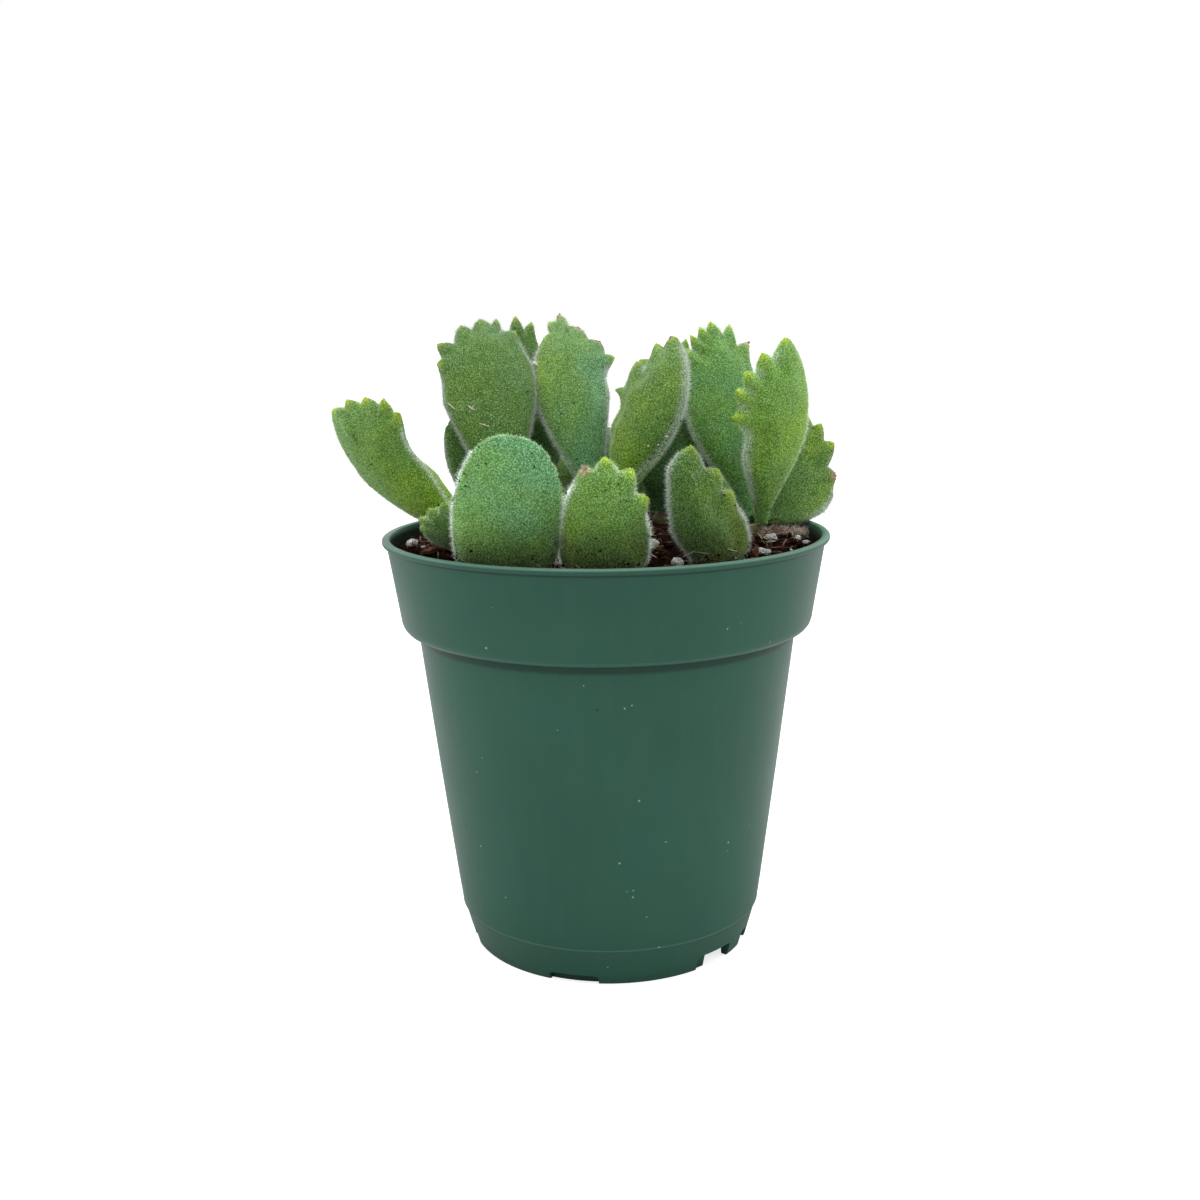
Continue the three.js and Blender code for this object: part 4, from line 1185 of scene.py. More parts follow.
class SUCCULENT_OT_soil_finds(bpy.types.Operator):
    """Lay the odd perlite flakes, bark splinters and straws on the soil, and felt on one chip"""

    bl_idname = "succulent.soil_finds"
    bl_label = "Flakes and Splinters"
    bl_options = {"REGISTER", "UNDO"}

    def execute(self, context):
        soil = context.scene.succulent_soil
        rng = np.random.default_rng(23)

        def seat(x, y, lift):
            px, py = AXIS.x + x * MM, AXIS.y + y * MM
            return np.array((px, py, soil_top(px, py) + lift * MM))

        # place from the pot's axis, half sizes in mm, lean in degrees
        flakes = [(9.2, -5.2, (0.8, 0.5, 1.4), 10), (16.6, -4.9, (1.35, 0.6, 1.45), -28),
                  (20.6, -4.8, (1.0, 0.5, 0.65), 25), (36.8, -1.8, (2.5, 0.8, 0.8), 10),
                  (47.0, 0.0, (0.85, 0.5, 0.5), 0), (-46.0, 1.5, (1.2, 0.8, 0.8), 0),
                  (-43.0, 0.5, (0.6, 0.5, 0.5), 0)]
        splinters = [(43.2, -2.6, (1.8, 0.45, 0.35), -8), (34.9, -3.2, (0.7, 0.28, 1.7), 6),
                     (25.0, -3.5, (0.8, 0.3, 0.3), 20), (40.0, -3.0, (1.1, 0.3, 0.25), 10),
                     (-38.5, 1.5, (1.3, 0.35, 0.3), 5), (12.5, -2.5, (1.0, 0.3, 0.25), -15)]
        for kind, items in (("flake", flakes), ("splinter", splinters)):
            for i, (x, y, half, lean) in enumerate(items):
                if kind == "flake":
                    bpy.ops.mesh.primitive_ico_sphere_add(subdivisions=4, location=(0, 0, 0))
                    rough = 0.22
                else:
                    bpy.ops.mesh.primitive_cube_add(size=2.0, location=(0, 0, 0))
                    rough = 0.12

                def cut(bm):
                    bpy.ops.mesh.select_all(action="SELECT")
                    if kind == "splinter":
                        bpy.ops.mesh.subdivide(number_cuts=7)

                piece = bpy.context.object
                edit(piece, cut)
                co = points_of(piece)
                for k, p in enumerate(co):
                    q = Vector(p) * 1.6 + Vector((i * 4.7, 1.0, 0))
                    co[k] = p * (1 + rough * noise.noise(q) + rough * noise.noise(q * 2.9))
                if kind == "splinter":
                    co[:, 0] *= 1 - 0.4 * np.clip(co[:, 2], 0, 1) * (half[2] > 1)
                turn = np.array(Matrix.Rotation(math.radians(lean), 3, "Y"))
                sunk = 0.75 * half[2]
                set_points(piece, (co * np.array(half)) @ turn.T * MM + seat(x, y, sunk))
                smooth_by_angle(piece, 45)
                if kind == "flake":
                    keep(piece, f"loose_flake_{i + 1}", perlite_material(soil))
                else:
                    paint(piece, "felt", np.zeros(len(co)))
                    keep(piece, f"loose_splinter_{i + 1}", bark_material(soil))

        # straws lean out of the mix; the felt is a mat of fine curly roots
        paths, radii, shade, felt = [], [], [], []
        for x, y, dx, rise in ((22.9, -4.3, 0.5, 2.2), (2.6, -5.0, -0.3, 1.6), (0.5, -4.8, 1.6, 0.3),
                               (37.3, 1.2, -1.5, 2.3), (-24.0, -3.4, 2.5, 0.8),
                               (-16.5, -3.8, 1.6, 1.8), (-13.0, -4.0, -1.8, 0.5),
                               (-20.5, -3.6, 0.6, 0.9), (27.0, -4.0, 1.2, 0.4)):
            t = np.linspace(0, 1, 5)[:, None]
            foot = seat(x, y, 0.1)
            paths.append(foot + t * np.array((dx, 0.2, rise)) * MM
                         + np.sin(t * 3) * np.array((0.15, 0, 0.1)) * MM)
            radii.append(rng.uniform(0.18, 0.3) * MM)
            shade.append(1.0)
            felt.append(0.0)
        low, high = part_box(max(BARK_NODES, key=lambda n: (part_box(n)[1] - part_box(n)[0]).x))
        mid, half = np.array((low + high) / 2), np.array((high - low) / 2)
        for _ in range(900):
            start = mid + rng.uniform(-1, 1, 3) * (half + np.array((0.8, 0.5, 0.3)) * MM)
            curl = np.cumsum(rng.normal(0, 0.22, (7, 3)), axis=0)
            curl += np.linspace(0, 1, 7)[:, None] * rng.normal(0, 1, 3) * (1.2, 0.6, 0.5)
            paths.append(start + curl * MM)
            radii.append(rng.uniform(0.04, 0.09) * MM)
            shade.append(rng.uniform(0.3, 1))
            felt.append(rng.uniform(0.55, 1))
        mat, sizes = strands("root_felt", paths, radii)
        paint(mat, "shade", np.repeat(shade, sizes))
        paint(mat, "felt", np.repeat(felt, sizes))
        smooth_by_angle(mat, 80)
        keep(mat, "root_felt", fibre_material(soil))
        return {"FINISHED"}


# ---------------------------------------------------------------- stems and leaves

class SUCCULENT_OT_stems(bpy.types.Operator):
    """Swell the stems with leaf scars and a corky skin"""

    bl_idname = "succulent.stems"
    bl_label = "Stems"
    bl_options = {"REGISTER", "UNDO"}

    def execute(self, context):
        material = stem_material()
        for i, node in enumerate(STEM_NODES):
            stem = merged_copy(node, f"cork_{node}")

            def join(bm):
                bpy.ops.mesh.select_all(action="SELECT")
                bpy.ops.mesh.tris_convert_to_quads()

            edit(stem, join)
            add_modifier(stem, "SUBSURF", levels=2, render_levels=2)
            low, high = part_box(node)
            mid = (low + high) / 2
            co = points_of(stem)
            for k, p in enumerate(co):
                out = Vector((p[0] - mid.x, p[1] - mid.y, 0))
                rings = 0.16 * math.sin((p[2] - high.z) / MM * 2.6)
                lumps = noise.noise(Vector(p) * 350 + Vector((i, 0, 0))) * 0.35
                if out.length > 0.5 * MM:
                    co[k] += np.array(out.normalized()) * (rings + lumps) * MM
            set_points(stem, co)
            smooth_by_angle(stem, 80)
            keep(stem, f"cork_{node}", material, (node,))
        return {"FINISHED"}


def subdivide_through(obj, levels):
    """Subdivides a mesh into a smooth surface that still passes through its own points."""
    wanted = points_of(obj)
    cage = wanted.copy()
    modifier = obj.modifiers.new("Smooth", "SUBSURF")
    modifier.levels = modifier.render_levels = levels
    for _ in range(4):
        smooth = obj.evaluated_get(bpy.context.evaluated_depsgraph_get())
        reached = np.empty(len(smooth.data.vertices) * 3)
        smooth.data.vertices.foreach_get("co", reached)
        cage += 0.9 * (wanted - reached.reshape(-1, 3)[:len(wanted)])
        set_points(obj, cage)
        bpy.context.view_layer.update()
    select_only(obj)
    bpy.ops.object.modifier_apply(modifier=modifier.name)


def margin_chain(bm):
    """The leaf's margin in order: a list of (upper vertex, lower vertex), from root to root."""
    partner = {}
    for e in bm.edges:
        if abs(e.calc_length() - 0.8 * MM) < 0.0006 * MM:
            a, b = e.verts
            partner.setdefault(a, []).append(b)
            partner.setdefault(b, []).append(a)
    # the thin strip's triangles have all three corners on the margin
    links = {}
    for f in bm.faces:
        if all(v in partner for v in f.verts):
            tied = [(a, b) for a in f.verts for b in f.verts if a != b and b in partner[a]]
            if len(tied) == 2:
                a, b = tied[0]
                c = next(v for v in f.verts if v not in (a, b))
                links.setdefault(frozenset((a, b)), set()).add(c)
    owner = {}
    for pair in links:
        for v in pair:
            owner[v] = pair
    near = {pair: {owner[c] for c in corners if c in owner} - {pair}
            for pair, corners in links.items()}
    for pair, others in list(near.items()):
        for other in others:
            near[other].add(pair)
    ends = [pair for pair, others in near.items() if len(others) == 1]
    chain, seen = [], set()
    here = min(ends, key=lambda p: min(v.index for v in p)) if ends else None
    while here is not None:
        chain.append(here)
        seen.add(here)
        here = next((o for o in near[here] if o not in seen), None)
    return chain


def finer(obj, rim, old_count):
    """The margin's vertex pairs, with the pairs that a subdivision put between them."""
    near = [set() for _ in obj.data.vertices]
    for e in obj.data.edges:
        a, b = e.vertices
        near[a].add(b)
        near[b].add(a)
    result = [rim[0]]
    for here, there in zip(rim, rim[1:]):
        between = []
        for a, b in zip(here, there):
            shared = sorted(v for v in near[a] & near[b] if v >= old_count)
            between.append(shared[0] if shared else a)
        result += [tuple(between), there]
    return result


def nearest(targets, places):
    """For each place, which target is nearest and how far away it is."""
    tree = KDTree(len(targets))
    for i, q in enumerate(targets):
        tree.insert(q, i)
    tree.balance()
    hits = [tree.find(q) for q in places]
    return np.array([h[1] for h in hits]), np.array([h[2] for h in hits])


def neighbour_mean(values, edges):
    """Mean of every vertex's neighbours."""
    total, count = np.zeros_like(values), np.zeros(len(values))
    for a, b in ((0, 1), (1, 0)):
        np.add.at(total, edges[:, a], values[edges[:, b]])
        np.add.at(count, edges[:, a], 1)
    return (total.T / count).T


def faces_of_blade(rim, edges, count):
    """1 for every vertex on the side of the upper margin, -1 on the side of the lower one."""
    side = np.zeros(count)
    upper, lower = np.array(rim).T
    side[upper], side[lower] = 1, -1
    for _ in range(count):
        for a, b in ((0, 1), (1, 0)):
            start, end = side[edges[:, a]], side[edges[:, b]]
            spread = (end == 0) & (start != 0)
            side[edges[spread, b]] = start[spread]
        if (side != 0).all():
            break
    return side


class Margin:
    """A leaf's margin as a line from root to root, with its teeth."""

    def __init__(self, obj, rim, before, after):
        self.rim = rim
        pairs = points_of(obj)[np.array(rim)]
        ups = pairs[:, 0] - pairs[:, 1]
        self.line = pairs.mean(axis=1)
        self.ups = ups / np.linalg.norm(ups, axis=1)[:, None]
        self.core = self.line.mean(axis=0)
        self.middle = len(rim) // 2
        self.step = (len(rim) - 1) // 28
        reach = np.linalg.norm(self.line - self.core, axis=1)
        choices = []
        for left, right in ((before, after), (after, before)):
            teeth = [self.middle + 2 * self.step * k for k in range(-left, right + 1)]
            rise = sum(2 * reach[t] - reach[t - self.step] - reach[t + self.step]
                       for t in teeth)
            choices.append((rise, teeth))
        self.teeth = max(choices)[1]

    def outward(self, i, chord):
        out = np.cross(self.ups[i], chord)
        out /= np.linalg.norm(out)
        return out if out @ (self.line[i] - self.core) > 0 else -out

    def hull(self):
        """The margin with a slightly full curve from tooth to tooth in place of the notches."""
        goal = self.redrawn(0.0)
        for a, b in zip(self.teeth, self.teeth[1:]):
            run = self.line[b] - self.line[a]
            full = self.outward((a + b) // 2, run) * 0.06 * np.linalg.norm(run)
            for k in range(a, b + 1):
                at = (k - a) / (b - a)
                goal[k] = self.line[a] + run * at + full * 4 * at * (1 - at)
        return goal

    def redrawn(self, depth, outer=1.0):
        """The margin with deep notches between teeth that have slightly full sides."""
        line, step = self.line, self.step
        goal = line.copy()
        corners = {t: line[t] for t in self.teeth}
        for t in self.teeth:
            v = t + step
            if v + step in self.teeth:
                chord = line[v + step] - line[t]
                down = chord if v > self.middle else -chord
                share = outer if abs(v - self.middle) > 4 * step else 1.0
                deep = min(depth * share * MM, 0.75 * np.linalg.norm(chord))
                corners[v] = ((line[v + step] + line[t]) / 2
                              - self.outward(v, chord) * deep + down * 0.2)
        order = sorted(corners)
        for a, b in zip(order, order[1:]):
            run = corners[b] - corners[a]
            full = self.outward((a + b) // 2, run) * 0.09 * np.linalg.norm(run)
            for k in range(a, b + 1):
                at = (k - a) / (b - a)
                goal[k] = corners[a] + run * at + full * 4 * at * (1 - at)
        for t, way in ((self.teeth[0], -1), (self.teeth[-1], 1)):
            past = (self.middle - t) * way
            if past > 0:
                # no tooth at the apex itself: one full curve runs past it
                a = self.middle + way * step
                run = line[a] - line[t]
                full = self.outward(self.middle, run) * 0.11 * np.linalg.norm(run)
                for k in range(min(a, t), max(a, t) + 1):
                    at = (k - t) / (a - t)
                    goal[k] = line[t] + run * at + full * 4 * at * (1 - at)
            for far in range(1, 2 * step + 1):
                k = t + way * far
                if past < 0 and 0 < k < len(line):
                    dent = math.sin(math.pi * (far / (2 * step + 1)) ** 0.7) * 0.3 * depth
                    goal[k] -= self.outward(k, line[t] - line[k]) * dent * MM
        return goal

    def reshape(self, obj, depth, outer):
        """Moves the margin to its new line, and keeps the blade's thickness in step with it."""
        co = points_of(obj)
        edges = np.array([tuple(e.vertices) for e in obj.data.edges])
        goal = self.redrawn(depth, outer)
        count = len(self.line)
        fine = np.linspace(0, count - 1, 4 * (count - 1) + 1)
        line, drawn, hull, ups = (np.stack([np.interp(fine, np.arange(count), v[:, a])
                                            for a in range(3)], axis=1)
                                  for v in (self.line, goal, self.hull(), self.ups))
        to_tip = nearest(self.line[self.teeth], co)[1] / MM
        at, gap = nearest(line, co)
        edge = gap < 0.55 * MM
        inner = ~edge & (to_tip < 18)

        def even_out(values, times):
            for _ in range(times):
                values[inner] += 0.6 * (neighbour_mean(values, edges) - values)[inner]
            return values

        up = even_out(ups[at], 12)
        up /= np.linalg.norm(up, axis=1)[:, None]
        rise = np.einsum("ij,ij->i", co - line[at], up)
        body = BVHTree.FromPolygons(co.tolist(), [tuple(f.vertices) for f in obj.data.polygons])
        side = faces_of_blade(self.rim, edges, len(co))
        for i in np.flatnonzero(inner):
            away = Vector(-side[i] * up[i])
            hit = body.ray_cast(Vector(co[i]) + away * 0.05 * MM, away)
            rise[i] = side[i] * (hit[3] / 2 if hit[3] else 0.4 * MM)
        side[edge] = np.sign(rise[edge])
        height = np.abs(rise)
        middle = even_out(co - up * rise[:, None], 14)
        at, gap = nearest(line, middle)
        gap[edge] = 0
        shift = even_out((drawn - line)[at] * np.exp(-(gap / (3 * MM)) ** 2)[:, None], 4)
        full = np.percentile(height[inner], 90)

        def rounded(gaps, reach):
            x = np.clip(gaps / reach, 0, 1)
            return 0.3 * MM + full * (x * (2 - x)) ** 0.55

        def thin(gaps):
            return (0.3 + 1.1 * np.sqrt(gaps / MM)) * MM * (1 + (gaps / (5.5 * MM)) ** 4)

        # the thickness follows the gap to the hull, and falls to nothing at a notch
        plump = height / rounded(nearest(hull, middle)[1], 7 * MM)
        where = np.flatnonzero(inner)
        apart = np.linalg.norm(middle[where][:, None] - middle[where][None], axis=2)
        pull = (np.exp(-(apart / (3 * MM)) ** 2)
                / (apart < 1.0 * MM).sum(axis=1)[None])
        plump[where] = pull @ plump[where] / pull.sum(axis=1)
        moved = middle + shift
        cap = thin(nearest(drawn, moved)[1])
        body_height = plump * rounded(nearest(hull, moved)[1], 7 * MM)
        height[inner] = (body_height[inner] ** -6 + cap[inner] ** -6) ** (-1 / 6)
        height[edge] *= 0.3 + 0.7 * smooth_step(to_tip[edge] / 1.5)
        share = np.where(inner, smooth_step((17 - to_tip) / 5), edge * 1.0)
        shaped = moved + up * (side * height)[:, None]
        set_points(obj, co + share[:, None] * (shaped - co))
        self.line, self.fine = goal, drawn


def build_leaf(node, leaf):
    """One leaf: the CAD leaf made smooth, its root run into the stem and its teeth cut deep."""
    obj = merged_copy(node, node.replace("leaf_", "paw_"))
    look = {**PLAIN_LOOK, **LEAF_LOOKS.get(node, {})}
    bm = bmesh.new()
    bm.from_mesh(obj.data)
    pairs = [tuple(v.co.copy() for v in pair) for pair in margin_chain(bm)]
    for i in range(1, len(pairs)):
        (a, b), (c, d) = pairs[i], pairs[i - 1]
        if (a - b).dot(c - d) < 0:
            pairs[i] = (b, a)
    hub = max(bm.verts, key=lambda v: len(v.link_edges))
    root = hub.co.copy()
    inward = -hub.normal
    bm.free()

    def run_in(bm_edit):
        pick(bm_edit, obj, faces=lambda f: any((v.co - root).length < 1e-7 for v in f.verts))
        bpy.ops.mesh.extrude_region_move(
            TRANSFORM_OT_translate={"value": tuple(inward * 1.4 * MM)})
        bpy.ops.mesh.select_all(action="SELECT")
        bpy.ops.mesh.tris_convert_to_quads()

    edit(obj, run_in)
    found = nearest(points_of(obj), [q for pair in pairs for q in pair])[0]
    rim = [tuple(pair) for pair in found.reshape(-1, 2).tolist()]
    for _ in range(leaf.smoothing):
        count = len(obj.data.vertices)
        subdivide_through(obj, 1)
        rim = finer(obj, rim, count)
    margin = Margin(obj, rim, *look["teeth"])
    margin.reshape(obj, look["depth"], look["outer"])

    co = points_of(obj)
    tips = margin.line[margin.teeth]
    apex = max(tips, key=lambda q: np.linalg.norm(q - root))
    axis = (apex - root) / np.linalg.norm(apex - root)
    along = np.clip((co - np.array(root)) @ axis / np.linalg.norm(apex - root), 0, 1)
    to_margin = nearest(margin.fine, co)[1] / MM
    near_tip, dry = np.zeros(len(co)), np.zeros(len(co))
    for k, tip in enumerate(sorted(tips, key=lambda q: q[0])):
        gap = np.linalg.norm(co - tip, axis=1) / MM
        if k in look["browned"]:
            dry = np.maximum(dry, np.exp(-(gap / 1.9) ** 4))
        else:
            near_tip = np.maximum(near_tip, np.exp(-(gap / 1.55) ** 2))
    for i, q in enumerate(co):
        sway = np.array(noise.noise_vector(Vector(q) * 130))
        co[i] += sway * 0.1 * MM * smooth_step(to_margin[i] / 3)
    set_points(obj, co)
    mid_x = (co[:, 0].max() + co[:, 0].min()) / 2
    half_x = (co[:, 0].max() - co[:, 0].min()) / 2
    right = np.clip((co[:, 0] - mid_x) / half_x, -1, 1)
    low_tone, high_tone = look["tone"]
    to_tip = nearest(tips, co)[1] / MM
    paint(obj, "tone", low_tone + (high_tone - low_tone) * along + look["side"] * right)
    # pale margin: partly the denser velvet, partly painted sheen
    paint(obj, "margin", np.exp(-(to_margin / look["felt"]) ** 2) * smooth_step(along / 0.3)
          * (0.1 + 0.9 * smooth_step((to_tip - 1.5) / 5)))
    paint(obj, "tooth", near_tip * look["fresh"])
    paint(obj, "dry", dry)
    # painted light and shade: the leaf's given brightness, darker at the foot and brighter towards the
    # apex
    paint(obj, "light", look["light"] * (0.90 + 0.18 * along))
    paint(obj, "dirt", np.full(len(co), look["dirt"]) * (1.3 - along))
    # draw out the right side, draw in the foot's left and scale the whole, from the foot
    foot, top = co[co[:, 2].argmin()].copy(), co[co[:, 2].argmax()]
    rise = (co[:, 2] - foot[2]) / (top[2] - foot[2])
    beside = co[:, 0] - (foot[0] + rise * (top[0] - foot[0]))
    co[:, 0] += np.maximum(beside, 0) * (look["wide"] - 1) * smooth_step(rise / 0.4)
    co[:, 0] -= np.minimum(beside, 0) * look["taper"] * (1 - smooth_step(rise / 0.42))
    set_points(obj, foot + (co - foot) * look["size"])
    select_only(obj)
    bpy.ops.object.shade_smooth()
    return obj


class SUCCULENT_OT_leaves(bpy.types.Operator):
    """Shape every leaf: smooth, thick and soft, with its toothed tip"""

    bl_idname = "succulent.leaves"
    bl_label = "Leaves"
    bl_options = {"REGISTER", "UNDO"}

    def execute(self, context):
        leaf = context.scene.succulent_leaf
        for node in LEAF_NODES:
            obj = build_leaf(node, leaf)
            keep(obj, node.replace("leaf_", "paw_"), leaf_material(leaf), (node,))
        return {"FINISHED"}


def grow_hairs(obj, leaf, density, rng):
    """Short hairs all over a leaf, in one mesh of slim three-sided spikes."""
    mesh = obj.data
    mesh.calc_loop_triangles()
    tri = np.empty(len(mesh.loop_triangles) * 3, dtype=np.int32)
    mesh.loop_triangles.foreach_get("vertices", tri)
    tri = tri.reshape(-1, 3)
    co = points_of(obj)
    normals = np.empty(len(co) * 3)
    mesh.vertices.foreach_get("normal", normals)
    normals = normals.reshape(-1, 3)
    a, b, c = co[tri[:, 0]], co[tri[:, 1]], co[tri[:, 2]]
    area = np.linalg.norm(np.cross(b - a, c - a), axis=1) / 2
    margin = np.empty(len(co), dtype=np.float32)
    mesh.attributes["margin"].data.foreach_get("value", margin)
    weight = area * (1 + 2.5 * margin[tri].mean(axis=1))
    tries = int(weight.sum() / MM ** 2 * density * 1.6)
    chosen = rng.choice(len(tri), size=tries, p=weight / weight.sum())
    r1, r2 = np.sqrt(rng.uniform(0, 1, tries)), rng.uniform(0, 1, tries)
    mix = np.stack([1 - r1, r1 * (1 - r2), r1 * r2], axis=1)[:, :, None]
    root = (co[tri[chosen]] * mix).sum(axis=1)
    # one hair to a cell keeps them evenly apart, with closer cells along the margin
    near_edge = (margin[tri[chosen]][:, :, None] * mix).sum(axis=(1, 2))
    from_leaf = {}
    for name in ("tone", "tooth", "dry", "light"):
        values = np.empty(len(co), dtype=np.float32)
        mesh.attributes[name].data.foreach_get("value", values)
        from_leaf[name] = (values[tri[chosen]][:, :, None] * mix).sum(axis=(1, 2))
    cell = np.where(near_edge > 0.3, 0.24, 0.60 / math.sqrt(density)) * MM
    _, first = np.unique(np.floor(root / cell[:, None]).astype(np.int64), axis=0,
                         return_index=True)
    root, mix, chosen, near_edge = root[first], mix[first], chosen[first], near_edge[first]
    from_leaf = {name: values[first] for name, values in from_leaf.items()}
    count = len(root)
    out = (normals[tri[chosen]] * mix).sum(axis=1)
    out /= np.linalg.norm(out, axis=1)[:, None]
    way = out + rng.normal(0, 0.2, (count, 3)) + np.array((0, 0, 0.1))
    way /= np.linalg.norm(way, axis=1)[:, None]
    side = np.cross(way, rng.normal(0, 1, (count, 3)))
    side /= np.linalg.norm(side, axis=1)[:, None]
    other = np.cross(way, side)
    length = leaf.hair_length * (rng.uniform(0.5, 1.3, count) * (1 + 1.2 * near_edge))[:, None]
    thick = leaf.hair_radius * (rng.uniform(0.7, 1.2, count) * (1 - 0.5 * near_edge))[:, None]
    base = root - out * 0.04 * MM
    corners = [base + thick * (math.cos(k * math.tau / 3) * side
                               + math.sin(k * math.tau / 3) * other) for k in range(3)]
    points = np.stack([*corners, base + way * length], axis=1).reshape(-1, 3)
    spike = np.array([(0, 1, 3), (1, 2, 3), (2, 0, 3)])
    faces = (spike[None] + 4 * np.arange(count)[:, None, None]).reshape(-1, 3)
    hairs = from_arrays(obj.name.replace("paw_", "velvet_"), points, faces)
    paint(hairs, "edge", np.repeat(smooth_step((near_edge - 0.12) / 0.4), 4))
    for name, values in from_leaf.items():
        paint(hairs, name, np.repeat(values, 4))
    return hairs


class SUCCULENT_OT_velvet(bpy.types.Operator):
    """Grow the velvet of short hairs on every leaf"""

    bl_idname = "succulent.velvet"
    bl_label = "Velvet Hairs"
    bl_options = {"REGISTER", "UNDO"}

    def execute(self, context):
        leaf = context.scene.succulent_leaf
        rng = np.random.default_rng(5)
        material = hair_material(leaf)
        for node in LEAF_NODES:
            obj = bpy.data.objects[node.replace("leaf_", "paw_")]
            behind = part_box(node)[0].y > 0.016
            density = leaf.hairs_per_mm2 * (0.45 if behind else 1.0)
            hairs = grow_hairs(obj, leaf, density, rng)
            keep(hairs, hairs.name, material)
        return {"FINISHED"}


def front_skin(node):
    """Points and normals of the part of a leaf that faces forward."""
    obj = bpy.data.objects[node.replace("leaf_", "paw_")]
    co = points_of(obj)
    normals = np.empty(len(co) * 3)
    obj.data.vertices.foreach_get("normal", normals)
    normals = normals.reshape(-1, 3)
    ahead = normals[:, 1] < -0.15
    return co[ahead], normals[ahead]


